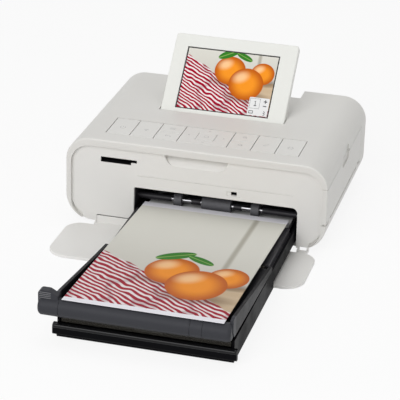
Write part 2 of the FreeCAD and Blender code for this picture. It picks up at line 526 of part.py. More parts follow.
# Paper guide: black liner behind the panel, open to the front and at its foot, slotted at the back.
guide_sizes = {"guide_wall": 1.4, "guide_back": 33, "guide_slot_low": 15, "guide_slot_high": 12,
               "pickup_back": 15, "pickup_high": 20.5, "pickup_shaft": 1.5}
sizes(guide_sizes)
GUIDE_IN = (f"{MOUTH_LEFT}-seam*2", f"{MOUTH_RIGHT}+seam*2")
guide_block = box("guide_block", (f"{GUIDE_IN[0]}-guide_wall", f"{GUIDE_IN[1]}+guide_wall"),
                  (f"{PANEL_BACK}+seam", "guide_back"), (f"{BASE_TOP}+seam", "mouth_top+seam*2+guide_wall"))
guide_hollow = box("guide_hollow", GUIDE_IN, ("0", "guide_back-guide_wall"), ("0", "mouth_top+seam*2"))
guide_slot = box("guide_slot", ("print_mid-rear_slot_half", "print_mid+rear_slot_half"),
                 ("guide_back-guide_wall-over", "guide_back+over"), ("guide_slot_low", "guide_slot_low+guide_slot_high"))
pickup_bore = rod("pickup_bore", "x", ("pickup_back", "pickup_high"),
                  (f"{GUIDE_IN[0]}-guide_wall-over", f"{GUIDE_IN[1]}+guide_wall+over"), "pickup_shaft+fit")
node(cut("paper_guide_solid", guide_block, guide_hollow, guide_slot, pickup_bore), "paper_guide")

# Gear train outside the left plate: pinion, feed gear, idler and pickup gear, and the ribbon pair.
gear_sizes = {"gear_module": 0.5, "gear_left": -56, "gear_wide": 4, "feed_back": 42,
              "feed_high": 19.6, "journal": 2, "motor_back": 56, "motor_shaft": 1,
              "spool_front": 56, "spool_back": 100, "spool_high": 36, "winder_back": 112,
              "bracket_x": -63, "bracket_front": 18, "bracket_low": 6.7, "bracket_back": 124,
              "motor_radius": 11, "motor_long": 21, "winder_radius": 9, "winder_long": 19,
              "standoff": 2.5}
sizes(gear_sizes)
FEED_TEETH, PINION_TEETH, IDLER_TEETH, PICKUP_TEETH, RIBBON_TEETH = 48, 12, 18, 24, 40
ADDENDUM_SHARE, DEDENDUM_SHARE = 0.7, 1.1
TIP_SHARE, PITCH_SHARE, ROOT_SHARE = 0.09, 0.19, 0.27


def pitch_radius(teeth):
    return values["gear_module"] * teeth / 2


def gear(name, teeth, centre, bore, phase):
    """A spur gear along X at (y, z), with straight-sided teeth thin enough to leave backlash."""
    module = values["gear_module"]
    pitch = 2 * math.pi / teeth
    radii = [pitch_radius(teeth) + step for step in
             (-DEDENDUM_SHARE * module, 0, ADDENDUM_SHARE * module, ADDENDUM_SHARE * module, 0, -DEDENDUM_SHARE * module)]
    shares = [-ROOT_SHARE, -PITCH_SHARE, -TIP_SHARE, TIP_SHARE, PITCH_SHARE, ROOT_SHARE]
    points = []
    for tooth in range(teeth):
        for radius, share in zip(radii, shares):
            angle = phase + pitch * (tooth + share)
            points.append(Vector(0, radius * math.cos(angle), radius * math.sin(angle)))
    face = Part.Face(Part.makePolygon(points + points[:1]))
    blank = face.extrude(Vector(values["gear_wide"], 0, 0))
    hole = Part.makeCylinder(bore, values["gear_wide"], Vector(), Vector(1, 0, 0))
    item = doc.addObject("Part::Feature", name)
    item.Shape = blank.cut(hole)
    item.Placement = Placement(Vector(values["gear_left"], *centre), Rotation())
    return item


def meshed(phase, teeth, centre, other_teeth, other_centre):
    """The phase that puts the other gear's gap on this gear's tooth line."""
    line = math.atan2(other_centre[1] - centre[1], other_centre[0] - centre[0])
    share = ((line - phase) / (2 * math.pi / teeth)) % 1
    return line + math.pi + (share - 1 / 2) * 2 * math.pi / other_teeth


def beside(centre, teeth, other_teeth, other_y, upward):
    """The centre at other_y where the other gear meshes."""
    reach = pitch_radius(teeth) + pitch_radius(other_teeth)
    rise = math.sqrt(reach ** 2 - (other_y - centre[0]) ** 2)
    return other_y, centre[1] + upward * rise


feed_at = (values["feed_back"], values["feed_high"])
pickup_at = (values["pickup_back"], values["pickup_high"])
along = Vector(pickup_at[0] - feed_at[0], pickup_at[1] - feed_at[1], 0)
spare = along.Length - pitch_radius(FEED_TEETH) - pitch_radius(PICKUP_TEETH) - 2 * pitch_radius(IDLER_TEETH)
step = pitch_radius(FEED_TEETH) + pitch_radius(IDLER_TEETH) + spare / 2
idler_at = (feed_at[0] + along.x / along.Length * step, feed_at[1] + along.y / along.Length * step)
motor_at = beside(feed_at, FEED_TEETH, PINION_TEETH, values["motor_back"], 1)
ribbon_at = (values["spool_back"], values["spool_high"])
winder_at = beside(ribbon_at, RIBBON_TEETH, PINION_TEETH, values["winder_back"], -1)
idler_phase = meshed(0, FEED_TEETH, feed_at, IDLER_TEETH, idler_at)
tight = values["press"]
node(gear("feed_wheel", FEED_TEETH, feed_at, values["journal"] + tight, 0), "feed_gear")
node(gear("idler_wheel", IDLER_TEETH, idler_at, values["journal"] + values["fit"], idler_phase), "idler_gear")
node(gear("pickup_wheel", PICKUP_TEETH, pickup_at, values["pickup_shaft"] + tight,
          meshed(idler_phase, IDLER_TEETH, idler_at, PICKUP_TEETH, pickup_at)), "pickup_gear")
node(gear("ribbon_wheel", RIBBON_TEETH, ribbon_at, values["journal"] + tight, 0), "ribbon_gear")


def turned_pinion(label, at, partner_teeth, partner_at):
    """A pinion on its motor's shaft, which stops short of the left plate."""
    phase = meshed(0, partner_teeth, partner_at, PINION_TEETH, at)
    wheel = gear(f"{label}_wheel", PINION_TEETH, at, values["motor_shaft"], phase)
    spindle = doc.addObject("Part::Cylinder", f"{label}_spindle")
    spindle.Placement = Placement(Vector(0, *at), TURNS["x"])
    bind(spindle, "Radius", "motor_shaft")
    bind(spindle, "Height", "gear_left+gear_wide-bracket_x+plate_thick")
    bind(spindle, "Placement.Base.x", "bracket_x-plate_thick")
    return node(join(f"{label}_solid", wheel, spindle), label)


def motor(label, at, radius, long):
    """A round motor whose face sits on the bracket, with its shaft's bore."""
    case = doc.addObject("Part::Cylinder", f"{label}_case")
    case.Placement = Placement(Vector(0, *at), TURNS["x"])
    bind(case, "Radius", radius)
    bind(case, "Height", long)
    bind(case, "Placement.Base.x", f"bracket_x-{long}")
    shaft_way = doc.addObject("Part::Cylinder", f"{label}_way")
    shaft_way.Placement = Placement(Vector(0, *at), TURNS["x"])
    bind(shaft_way, "Radius", "motor_shaft+fit")
    bind(shaft_way, "Height", "plate_thick*2")
    bind(shaft_way, "Placement.Base.x", "bracket_x-plate_thick*2+seam")
    case.recompute(True)
    case = soften(f"{label}_soft", case, "rim_soft", in_plane("x", case.Shape.BoundBox.XMin))
    return node(cut(f"{label}_solid", case, shaft_way), label)


turned_pinion("motor_pinion", motor_at, FEED_TEETH, feed_at)
turned_pinion("ribbon_pinion", winder_at, RIBBON_TEETH, ribbon_at)
motor("feed_motor", motor_at, "motor_radius", "motor_long")
motor("ribbon_motor", winder_at, "winder_radius", "winder_long")

bracket_plate = box("bracket_plate", ("bracket_x", "bracket_x+plate_thick"), ("bracket_front", "bracket_back"),
                    ("bracket_low", "main_z"))
ways = []
for i, at in enumerate((motor_at, winder_at)):
    way = doc.addObject("Part::Cylinder", f"shaft_way{i}")
    way.Placement = Placement(Vector(0, *at), TURNS["x"])
    bind(way, "Radius", "motor_shaft+gap")
    bind(way, "Height", "plate_thick*3")
    bind(way, "Placement.Base.x", "bracket_x-plate_thick")
    ways.append(way)
stud = doc.addObject("Part::Cylinder", "idler_stud")
stud.Placement = Placement(Vector(0, *idler_at), TURNS["x"])
bind(stud, "Radius", "journal")
bind(stud, "Height", "gear_left+gear_wide+seam*5-bracket_x-plate_thick/2")
bind(stud, "Placement.Base.x", "bracket_x+plate_thick/2")
standoff_sizes = {"standoff_front": 38, "standoff_mid": 80, "standoff_low": 12,
                  "standoff_high": 38.7, "standoff_rear": 115}
sizes(standoff_sizes)
STANDOFFS = [("standoff_front", "standoff_high"), ("standoff_mid", "standoff_low"),
             ("standoff_mid", "standoff_high"), ("standoff_rear", "standoff_low")]
standoffs = [rod(f"standoff{i}", "x", spot, ("bracket_x+plate_thick/2", "plate_left-plate_thick"), "standoff")
             for i, spot in enumerate(STANDOFFS)]
node(join("bracket_solid", cut("bracket_open", bracket_plate, *ways), stud, *standoffs), "motor_bracket")

# Rollers of the paper path, all turning in bores of the plates or of the paper guide.
roller_sizes = {"roller_mid": 12.2, "roller_half": 10, "roller_small": 5.3, "roller_reach": 29.5,
                "pickup_radius": 4.6, "pickup_left": -56.6, "roller_left": -40, "roller_right": 68,
                "feed_radius": 4, "pinch_high": 27.2, "pinch_radius": 3.2, "pinch_journal": 1.5,
                "platen_back": 78, "platen_high": 17, "platen_radius": 7, "platen_shaft": 2.5,
                "collar": 2.4}
sizes(roller_sizes)
ACROSS = ("plate_left-plate_thick", "plate_right+plate_thick")
pickup_span = ("pickup_left", f"{GUIDE_IN[1]}+guide_wall")
pickup_centre = ("pickup_back", "pickup_high")
pickup_bar = rod("pickup_bar", "x", pickup_centre, pickup_span, "pickup_shaft")
pickup_stop = rod("pickup_stop", "x", pickup_centre, (f"{GUIDE_IN[1]}-collar", f"{GUIDE_IN[1]}-gap"), "pickup_shaft+over")
node(join("pickup_shaft_solid", pickup_bar, pickup_stop), "pickup_shaft")
PICKUP_SPANS = [("roller_mid-roller_reach", "roller_mid-roller_reach+roller_small"),
                ("roller_mid-roller_half", "roller_mid+roller_half"),
                ("roller_mid+roller_reach-roller_small", "roller_mid+roller_reach")]
tyres = []
for i, span in enumerate(PICKUP_SPANS):
    tyre = rod(f"tyre{i}", "x", pickup_centre, span, "pickup_radius")
    tyre.recompute(True)
    ends = (tyre.Shape.BoundBox.XMin, tyre.Shape.BoundBox.XMax)
    tyre = soften(f"tyre_soft{i}", tyre, "key_soft", in_plane("x", *ends))
    tyres.append(cut(f"tyre_ring{i}", tyre, rod(f"tyre_bore{i}", "x", pickup_centre,
                                                (f"{span[0]}-over", f"{span[1]}+over"), "pickup_shaft+press")))
node(group("tyre_group", *tyres), "pickup_rollers")

feed_centre = ("feed_back", "feed_high")
node(join("feed_roller_solid", rod("feed_body", "x", feed_centre, ("roller_left", "roller_right"), "feed_radius"),
          rod("feed_journal", "x", feed_centre, ("gear_left-seam*5", ACROSS[1]), "journal")), "feed_roller")
pinch_centre = ("feed_back", "pinch_high")
node(join("pinch_roller_solid", rod("pinch_body", "x", pinch_centre, ("roller_left", "roller_right"), "pinch_radius"),
          rod("pinch_ends", "x", pinch_centre, ACROSS, "pinch_journal")), "pinch_roller")
platen_centre = ("platen_back", "platen_high")
node(rod("platen_bar", "x", platen_centre, ACROSS, "platen_shaft"), "platen_shaft")
platen_sleeve = rod("platen_sleeve", "x", platen_centre, ("roller_left", "roller_right"), "platen_radius")
platen_bore = rod("platen_bore", "x", platen_centre, ("roller_left-over", "roller_right+over"), "platen_shaft+press")
node(cut("platen_roller_solid", platen_sleeve, platen_bore), "platen_roller")

# Ink cartridge: two tubes joined at their ends, the ribbon let out at their inner feet.
cartridge_sizes = {"tube_radius": 11.5, "tube_wall": 1.2, "tube_left": -46.5, "tube_right": 72,
                   "core_radius": 3, "film_left": -38, "film_right": 66, "supply_radius": 8.5,
                   "used_radius": 5, "film_low": 25, "film_thick": 0.12, "film_slack": 6,
                   "case_bar": 3, "case_bar_low": 24.6, "case_bar_high": 2.6, "handle_long": 8,
                   "handle_front": 60, "handle_back": 96, "handle_low": 30, "handle_high": 12,
                   "film_slot": 10, "film_slot_high": 4}
sizes(cartridge_sizes)
tubes, hollows, spool_bores, film_slots = [], [], [], []
for i, (at, way) in enumerate((("spool_front", 1), ("spool_back", -1))):
    centre = (at, "spool_high")
    tubes.append(rod(f"tube{i}", "x", centre, ("tube_left", "tube_right"), "tube_radius"))
    hollows.append(rod(f"hollow{i}", "x", centre, ("tube_left+tube_wall", "tube_right-tube_wall"),
                       "tube_radius-tube_wall"))
    spool_bores.append(rod(f"spool_bore{i}", "x", centre, ("tube_left-over", "tube_right-tube_wall/2"),
                           "core_radius+fit"))
    edge = (f"{at}+tube_wall", f"{at}+tube_wall+film_slot")
    if way < 0:
        edge = (f"{at}-tube_wall-film_slot", f"{at}-tube_wall")
    film_slots.append(box(f"film_slot{i}", ("film_left-over", "film_right+over"), edge,
                          ("spool_high-tube_radius-over", "spool_high-tube_radius+film_slot_high")))
bars = [box("case_bar_a", ("tube_left", "tube_left+case_bar"), ("spool_front", "spool_back"),
            ("case_bar_low", "case_bar_low+case_bar_high")),
        box("case_bar_b", ("tube_right-case_bar", "tube_right"), ("spool_front", "spool_back"),
            ("case_bar_low", "case_bar_low+case_bar_high")),
        box("case_plate", ("tube_right-tube_wall", "tube_right+case_bar"), ("spool_front", "spool_back"),
            ("handle_low", "handle_low+handle_high")),
        box("case_handle", ("tube_right", "tube_right+handle_long"), ("handle_front", "handle_back"),
            ("handle_low+handle_high/3", "handle_low+handle_high*2/3"))]
node(cut("cartridge_solid", join("cartridge_full", *tubes, *bars), *hollows, *spool_bores, *film_slots),
     "cartridge_case")
for label, at, wound, radius in (("supply_spool", "spool_front", "supply_film", "supply_radius"),
                                 ("take_up_spool", "spool_back", "used_film", "used_radius")):
    centre = (at, "spool_high")
    left = "tube_left-gap" if label == "supply_spool" else "gear_left-seam*5"
    core = rod(f"{label}_core", "x", centre, ("tube_left-gap", "tube_right-tube_wall/2-gap"), "core_radius")
    if label == "take_up_spool":
        core = join("winder_core", core, rod("winder_journal", "x", centre, (left, "tube_left"), "journal"))
    flange = rod(f"{label}_flange", "x", centre, ("film_left-over*2", "film_left-over"), f"{radius}+over")
    node(join(f"{label}_solid", core, flange), label)
    roll = rod(f"{wound}_roll", "x", centre, ("film_left", "film_right"), radius)
    roll_bore = rod(f"{wound}_bore", "x", centre, ("film_left-over", "film_right+over"), "core_radius+press")
    node(cut(f"{wound}_solid", roll, roll_bore), wound)
RIBBON = [("spool_front+tube_wall", "spool_high-supply_radius-gap"), ("spool_front+film_slot", "film_low"),
          ("spool_back-film_slot", "film_low"), ("spool_back-tube_wall", "spool_high-used_radius-gap")]
ribbon_points = RIBBON + [(y, f"{z}+film_thick") for y, z in reversed(RIBBON)]
node(profile("ribbon_strip", "x", ribbon_points, ("film_left", "film_right")), "ink_ribbon")

# Thermal head: heater bar under a finned heat sink, on an arm that lowers it onto the platen.
head_sizes = {"head_front": 73.5, "head_back": 82.5, "head_low": 28.2, "heater_high": 3,
              "arm_low": 49.2, "arm_thick": 1.8, "head_pivot_back": 115, "head_pivot_high": 51.6,
              "head_pivot": 1.5, "hinge_wall": 1.2, "fin_gap": 1.4, "fin_deep": 11}
sizes(head_sizes)
HEAD_X = ("film_left", "film_right")
heater = box("heater_block", HEAD_X, ("head_front", "head_back"), ("head_low", "head_low+heater_high"))
node(soften("heater_soft", heater, "key_soft", in_plane("z", values["head_low"])), "thermal_head")
sink = box("sink_block", HEAD_X, ("head_front", "head_back"), ("head_low+heater_high", "arm_low"))
fins = [box(f"fin_gap{i}", (f"{HEAD_X[0]}-over", f"{HEAD_X[1]}+over"),
            (f"head_front+(head_back-head_front)*{i + 1}/4-fin_gap/2", f"head_front+(head_back-head_front)*{i + 1}/4+fin_gap/2"),
            ("arm_low-fin_deep", "arm_low-over")) for i in range(3)]
node(cut("sink_solid", sink, *fins), "heat_sink")
pivot_centre = ("head_pivot_back", "head_pivot_high")
arm_plate = box("arm_plate", HEAD_X, ("head_front", "head_pivot_back"), ("arm_low", "arm_low+arm_thick"))
arm_hinge = rod("arm_hinge", "x", pivot_centre, ("plate_left+gap", "plate_right-gap"), "head_pivot+hinge_wall")
arm_pivot = rod("arm_pivot", "x", pivot_centre, ACROSS, "head_pivot")
node(join("head_arm_solid", arm_plate, arm_hinge, arm_pivot), "head_arm")

# Side plates, bored for every shaft that runs in them.
shaft_holes = {"feed": (feed_centre, "journal"), "pinch": (pinch_centre, "pinch_journal"),
               "platen": (platen_centre, "platen_shaft"), "head": (pivot_centre, "head_pivot")}
left_holes = [rod(f"left_{name}", "x", centre, (f"{LEFT_X[0]}-over", f"{LEFT_X[1]}+over"), f"{radius}+fit")
              for name, (centre, radius) in shaft_holes.items()]
left_holes.append(rod("left_winder", "x", ("spool_back", "spool_high"), (f"{LEFT_X[0]}-over", f"{LEFT_X[1]}+over"),
                      "journal+fit"))
left_plate = cut("left_plate", box("left_blank", LEFT_X, CHASSIS_Y, ("chassis_low", "chassis_top")), *left_holes)
right_holes = [rod(f"right_{name}", "x", centre, (f"{RIGHT_X[0]}-over", f"{RIGHT_X[1]}+over"), f"{radius}+fit")
               for name, (centre, radius) in shaft_holes.items()]
right_blank = profile("right_blank", "x", [("chassis_front", "chassis_low"), ("chassis_back", "chassis_low"),
                                           ("chassis_back", "chassis_top"), ("ear_back", "chassis_top"),
                                           ("ear_back", "plate_top"), ("ear_front", "plate_top"),
                                           ("ear_front", "ear_top"), ("chassis_front", "ear_top")], RIGHT_X)
right_plate = cut("right_plate", right_blank, *right_holes)
node(join("chassis_solid", left_plate, chassis_floor, right_plate), "chassis")

# Screen unit, made around its pivot as it lies when shut, then tilted up.
screen_sizes = {"panel_gap": 0.6, "panel_long": 61.6, "panel_edge": 1.3, "panel_under": 2.3,
                "panel_over": 3.2, "panel_split": 0.3, "panel_round": 2, "panel_soft": 0.8,
                "view_left": -34.3, "view_right": 32.3, "view_near": 4.5, "view_far": 52,
                "view_drop": 0.5, "glass_lip": 1.6, "glass_low": 1.1, "glass_mid": 1.2,
                "boss_wide": 4, "boss_long": 3.6, "boss_over": 1.5}
sizes(screen_sizes)
PANEL_HALF = "(recess_wide/2-panel_gap)"
SCREEN_X = (f"-{PANEL_HALF}", PANEL_HALF)
SCREEN_Y = ("-panel_edge", "panel_long-panel_edge")


def screen_slab(name, z):
    points = [(x, y) for x, y in ((SCREEN_X[0], SCREEN_Y[0]), (SCREEN_X[1], SCREEN_Y[0]),
                                  (SCREEN_X[1], SCREEN_Y[1]), (SCREEN_X[0], SCREEN_Y[1]))]
    return profile(name, "z", points, z, {i: "panel_round" for i in range(4)})


def view_box(name, grow, z):
    """The display's window, grown on all sides, between two heights."""
    return box(name, (f"view_left-({grow})", f"view_right+({grow})"),
               (f"view_near-panel_edge-({grow})", f"view_far-panel_edge+({grow})"), z)


front_slab = soften("front_slab_soft", screen_slab("front_slab", ("panel_split", "panel_over")), "panel_soft",
                    in_plane("z", values["panel_over"]))
back_slab = soften("back_slab_soft", screen_slab("back_slab", ("-panel_under", "panel_split")), "panel_soft",
                   in_plane("z", -values["panel_under"]))
BOSS_Y = ("-panel_edge", "boss_long-panel_edge")
boss_cuts, hinge_bosses = [], []
for i, (low, high) in enumerate(((f"-{PANEL_HALF}", f"-{PANEL_HALF}+boss_wide"),
                                 (f"{PANEL_HALF}-boss_wide", PANEL_HALF))):
    boss_cuts.append(box(f"boss_cut{i}", (f"{low}-over" if i == 0 else f"{low}-seam", f"{high}+seam" if i == 0 else f"{high}+over"),
                         ("-panel_edge-over", f"{BOSS_Y[1]}+seam"), ("0", "boss_over+seam")))
    hinge_bosses.append(box(f"hinge_boss{i}", (low, high), BOSS_Y, ("0", "boss_over")))
frame_solid = cut("screen_frame_solid", front_slab, view_box("view_window", "0", ("0", "panel_over+over")),
                  view_box("view_pocket", "glass_lip+seam", ("0", "glass_mid+seam")), *boss_cuts)
node(place(frame_solid, "screen_back", "screen_high", "screen_tilt"), "screen_frame")
PIN_SPANS = [(f"{BLOCK_X[0]}+gap", f"-{PANEL_HALF}+boss_wide"), (f"{PANEL_HALF}-boss_wide", f"{BLOCK_X[1]}-gap")]
screen_pins = [rod(f"screen_pin{i}", "x", ("0", "0"), span, "screen_pin") for i, span in enumerate(PIN_SPANS)]
back_open = cut("back_open", join("back_full", back_slab, *hinge_bosses),
                view_box("back_pocket", "glass_lip+seam", ("-glass_low-seam", "over")))
back_solid = join("screen_back_solid", back_open, *screen_pins)
node(place(back_solid, "screen_back", "screen_high", "screen_tilt"), "screen_back")
glass = join("display_solid", view_box("display_low", "glass_lip", ("-glass_low", "glass_mid")),
             view_box("display_top", "-seam", ("glass_mid-seam", "panel_over-view_drop")))
node(place(glass, "screen_back", "screen_high", "screen_tilt"), "display_glass")

# Paper cassette: deep front part on the table, shallow rear part over the door and into the mouth.
tray_sizes = {"tray_mid": 13.9, "tray_half": 55.15, "tray_front": -163.4, "tray_step": -58,
              "tray_back": 30, "tray_wall": 1.6, "tray_low": 0.8, "tray_rear_low": 5.4,
              "tray_top": 15.4, "front_wall_top": 10.4, "lip_out": 1.6, "lip_side": 2.2,
              "lip_low": 3, "lip_soft": 2, "rib_side": 30, "rib_wide": 2, "lid_pivot_back": -66,
              "lid_pivot_high": 17.6, "lid_pin": 0.9, "ear_radius": 1.9, "ear_thick": 2.2,
              "stack_half": 50, "stack_top": 15.4, "stack_high": 4.9, "stack_front": -149,
              "stack_back": 28, "lift_thick": 1.2, "lift_half": 48, "lift_front": -58,
              "rail_thick": 2}
sizes(tray_sizes)
TRAY_IN = "(tray_half-tray_wall)"
STACK_LOW = "stack_top-gap-stack_high"


def across(half):
    """The x span of something centred on the cassette."""
    return f"tray_mid-({half})", f"tray_mid+({half})"


tray_side = [("tray_front", "tray_low"), ("tray_step", "tray_low"), ("tray_step", "tray_rear_low"),
             ("tray_back", "tray_rear_low"), ("tray_back", "tray_top"), ("tray_front", "tray_top")]
tray_block = profile("tray_block", "x", tray_side, across("tray_half"), {0: "lip_soft"})
hollow_side = [("tray_front+tray_wall", "tray_low+tray_wall"), ("tray_step-tray_wall", "tray_low+tray_wall"),
               ("tray_step-tray_wall", "tray_rear_low+tray_wall"), ("tray_back-tray_wall", "tray_rear_low+tray_wall"),
               ("tray_back-tray_wall", "tray_top+over"), ("tray_front+tray_wall", "tray_top+over")]
tray_hollow = profile("tray_hollow", "x", hollow_side, across(TRAY_IN))
front_gap = box("front_gap", across("tray_half+over"), ("tray_front-over", "tray_front+tray_wall+gap"),
                ("front_wall_top", "tray_top+over"))
lip = profile("lip_block", "x", [("tray_front-lip_out", "lip_low"), ("tray_front+lip_soft", "lip_low"),
                                 ("tray_front+lip_soft", "front_wall_top"), ("tray_front-lip_out", "front_wall_top")],
              across("tray_half+lip_side"), {0: "lip_soft", 3: "lip_soft"})
lip_hollow = box("lip_hollow", across(TRAY_IN), ("tray_front+tray_wall", "tray_front+lip_soft+over"),
                 ("tray_low+tray_wall", "tray_top"))
ribs = [box(f"rib{i}", (f"tray_mid+({x})-rib_wide/2", f"tray_mid+({x})+rib_wide/2"),
            ("tray_front+tray_wall-seam", "tray_step-tray_wall+seam"), ("tray_low+tray_wall-seam", STACK_LOW))
        for i, x in enumerate(("-rib_side", "0", "rib_side"))]
EAR_OUT = "(tray_half-rail_thick-seam)"
EAR_IN = f"({EAR_OUT}-ear_thick)"
ear_spans = [(f"tray_mid-{EAR_OUT}", f"tray_mid-{EAR_IN}"), (f"tray_mid+{EAR_IN}", f"tray_mid+{EAR_OUT}")]
foot_spans = [(f"tray_mid-{TRAY_IN}-seam", f"tray_mid-{EAR_IN}"), (f"tray_mid+{EAR_IN}", f"tray_mid+{TRAY_IN}+seam")]
lid_centre = ("lid_pivot_back", "lid_pivot_high")
ears = []
EAR_Y = ("lid_pivot_back-ear_radius", "lid_pivot_back+ear_radius")
for i, (span, foot_span) in enumerate(zip(ear_spans, foot_spans)):
    ears.append(rod(f"ear_round{i}", "x", lid_centre, span, "ear_radius"))
    ears.append(box(f"ear_post{i}", span, EAR_Y, (STACK_LOW, "lid_pivot_high")))
    ears.append(box(f"ear_foot{i}", foot_span, EAR_Y, ("tray_low+tray_wall-seam", "tray_top")))
ear_bore = rod("ear_bore", "x", lid_centre, across("tray_half+over"), "lid_pin+fit")
tray_open = cut("tray_open", join("tray_lipped", tray_block, lip), tray_hollow, front_gap, lip_hollow)
node(cut("tray_solid", join("tray_full", tray_open, *ribs, *ears), ear_bore), "cassette_tray")
node(box("stack", across("stack_half"), ("stack_front", "stack_back"), (STACK_LOW, "stack_top-gap")), "paper_stack")

# Lift plate under the stack's rear end, pushed up by two bowed leaf springs.
spring_sizes = {"spring_wide": 6, "spring_thick": 0.5, "spring_side": 30, "spring_front": -45,
                "spring_back": 15}
sizes(spring_sizes)
LIFT_LOW = f"{STACK_LOW}-lift_thick"
node(box("lift", across("lift_half"), ("lift_front", "stack_back"), (LIFT_LOW, STACK_LOW)), "lift_plate")
FLOOR = "tray_rear_low+tray_wall"
leaf_mid = "(spring_front+spring_back)/2"
LEAF = [("spring_front", FLOOR), (leaf_mid, f"{LIFT_LOW}-spring_thick"), ("spring_back", FLOOR),
        ("spring_back", f"{FLOOR}+spring_thick"), (leaf_mid, LIFT_LOW), ("spring_front", f"{FLOOR}+spring_thick")]
leaves = [profile(f"leaf{i}", "x", LEAF, (f"tray_mid+({x})-spring_wide/2", f"tray_mid+({x})+spring_wide/2"))
          for i, x in enumerate(("-spring_side", "spring_side"))]
node(group("leaf_group", *leaves), "lift_springs")

# Rear cover of the cassette: a fixed shell over the stack that the print's tail lies on.
cover_sizes = {"cover_front": -63.6, "cover_back": -3, "cover_half": 52.8, "cover_top": 19.2,
               "cover_thick": 1.3, "cover_soft": 1}
sizes(cover_sizes)
cover_block = box("rear_cover_block", across("cover_half"), ("cover_front", "cover_back"), ("tray_top", "cover_top"))
cover_block = soften("rear_cover_soft", cover_block, "cover_soft", in_plane("z", values["cover_top"]))
cover_hollow = box("rear_cover_hollow", across("stack_half+gap"), ("cover_front-over", "cover_back+over"),
                   ("tray_top-over", "cover_top-cover_thick"))
cover_tabs = [box(f"cover_tab{i}", span, ("cover_front+over", "cover_back"), ("tray_top-over*3", "tray_top+seam"))
              for i, span in enumerate(((f"tray_mid-({TRAY_IN})+seam", "tray_mid-stack_half-gap"),
                                        ("tray_mid+stack_half+gap", f"tray_mid+({TRAY_IN})-seam")))]
node(join("rear_cover_solid", cut("rear_cover_open", cover_block, cover_hollow), *cover_tabs), "cassette_rear_cover")

# Inner lid: smoky cover over the front part of the stack, with a skirt at the front.
inner_lid_sizes = {"inner_front": -160.6, "inner_back": -69, "inner_top": 17.2, "inner_thick": 1.3,
                   "inner_half": 52.9, "skirt_low": 10.5, "inner_soft": 0.8, "knuckle_in": 48.5,
                   "knuckle_out": 50.6, "clip_half": 9, "clip_mid": 2, "clip_high": 2.6,
                   "clip_out": 0.8}
sizes(inner_lid_sizes)
inner_side = [("inner_front", "skirt_low"), ("inner_front+inner_thick", "skirt_low"),
              ("inner_front+inner_thick", "inner_top-inner_thick"), ("inner_back", "inner_top-inner_thick"),
              ("inner_back", "inner_top"), ("inner_front", "inner_top")]
inner_plate = profile("inner_plate", "x", inner_side, across("inner_half"), {5: "inner_soft"})
inner_clip = box("inner_clip", ("tray_mid+clip_mid-clip_half", "tray_mid+clip_mid+clip_half"),
                 ("inner_front-clip_out", "inner_front+seam"),
                 ("skirt_low+clip_high/2", "skirt_low+clip_high*3/2"))
inner_parts = [inner_plate, inner_clip]
for i, sign in enumerate(("-", "+")):
    span = (f"tray_mid{sign}knuckle_in", f"tray_mid{sign}knuckle_out")
    span = span if sign == "+" else (span[1], span[0])
    inner_parts.append(rod(f"inner_knuckle{i}", "x", lid_centre, span, "ear_radius"))
    inner_parts.append(box(f"inner_arm{i}", span, ("inner_back-over", "lid_pivot_back"),
                           ("inner_top-inner_thick", "inner_top")))
node(cut("inner_lid_solid", join("inner_full", *inner_parts),
         rod("inner_bore", "x", lid_centre, across("tray_half"), "lid_pin+fit")), "inner_lid")

# Outer lid, folded forward: rails, sloping plate and the fat grip bar that props up the print.
outer_lid_sizes = {"bar_back": -166, "bar_high": 22.9, "bar_radius": 5.9, "bar_left": -51,
                   "bar_right": 68.6, "bar_soft": 2.4, "rail_front": -163, "rail_high": 31.5,
                   "rail_mid": -100, "rail_mid_high": 23.4, "rail_low_front": 18.6,
                   "plate_back": -70, "plate_front": -162, "plate_low_back": 18.3,
                   "plate_low_front": 20.8, "lid_plate": 1.5, "thumb_right": -38.6,
                   "thumb_top": 34, "thumb_thick": 5, "thumb_round": 2.5, "thumb_drop": 3}
sizes(outer_lid_sizes)
bar = rod("bar_rod", "x", ("bar_back", "bar_high"), ("bar_left", "bar_right"), "bar_radius")
bar = soften("bar_soft_rod", bar, "bar_soft", in_plane("x", values["bar_left"], values["bar_right"]))
rail_points = [("lid_pivot_back", "lid_pivot_high-ear_radius"), ("rail_front", "rail_low_front"),
               ("bar_back", "bar_high"), ("bar_back", "rail_high-over"), ("rail_front", "rail_high"),
               ("rail_mid", "rail_mid_high"), ("lid_pivot_back", "lid_pivot_high+ear_radius")]
RAIL_X = [("tray_mid-tray_half", "tray_mid-tray_half+rail_thick"), ("tray_mid+tray_half-rail_thick", "tray_mid+tray_half")]
lid_parts = [bar]
for i, span in enumerate(RAIL_X):
    lid_parts.append(profile(f"rail{i}", "x", rail_points, span, {4: "thumb_round"}))
    lid_parts.append(rod(f"rail_end{i}", "x", lid_centre, span, "ear_radius"))
lid_parts.append(profile("lid_plate_blank", "x",
                         [("plate_back", "plate_low_back"), ("plate_front", "plate_low_front"),
                          ("plate_front", "plate_low_front+lid_plate"), ("plate_back", "plate_low_back+lid_plate")],
                         across("tray_half-rail_thick/2")))
lid_parts.append(profile("thumb_tab", "y", [("bar_left", "bar_high"), ("thumb_right", "bar_high"),
                                            ("thumb_right", "thumb_top-thumb_drop"), ("bar_left+thumb_thick*4/3", "thumb_top"),
                                            ("bar_left", "thumb_top")],
                         ("bar_back-thumb_thick/2", "bar_back+thumb_thick/2"), {3: "thumb_round", 4: "thumb_round"}))
lid_parts.append(rod("lid_pin0", "x", lid_centre, ("tray_mid-tray_half", "tray_mid-knuckle_in"), "lid_pin"))
lid_parts.append(rod("lid_pin1", "x", lid_centre, ("tray_mid+knuckle_in", "tray_mid+tray_half"), "lid_pin"))
node(join("outer_lid_solid", *lid_parts), "outer_lid")

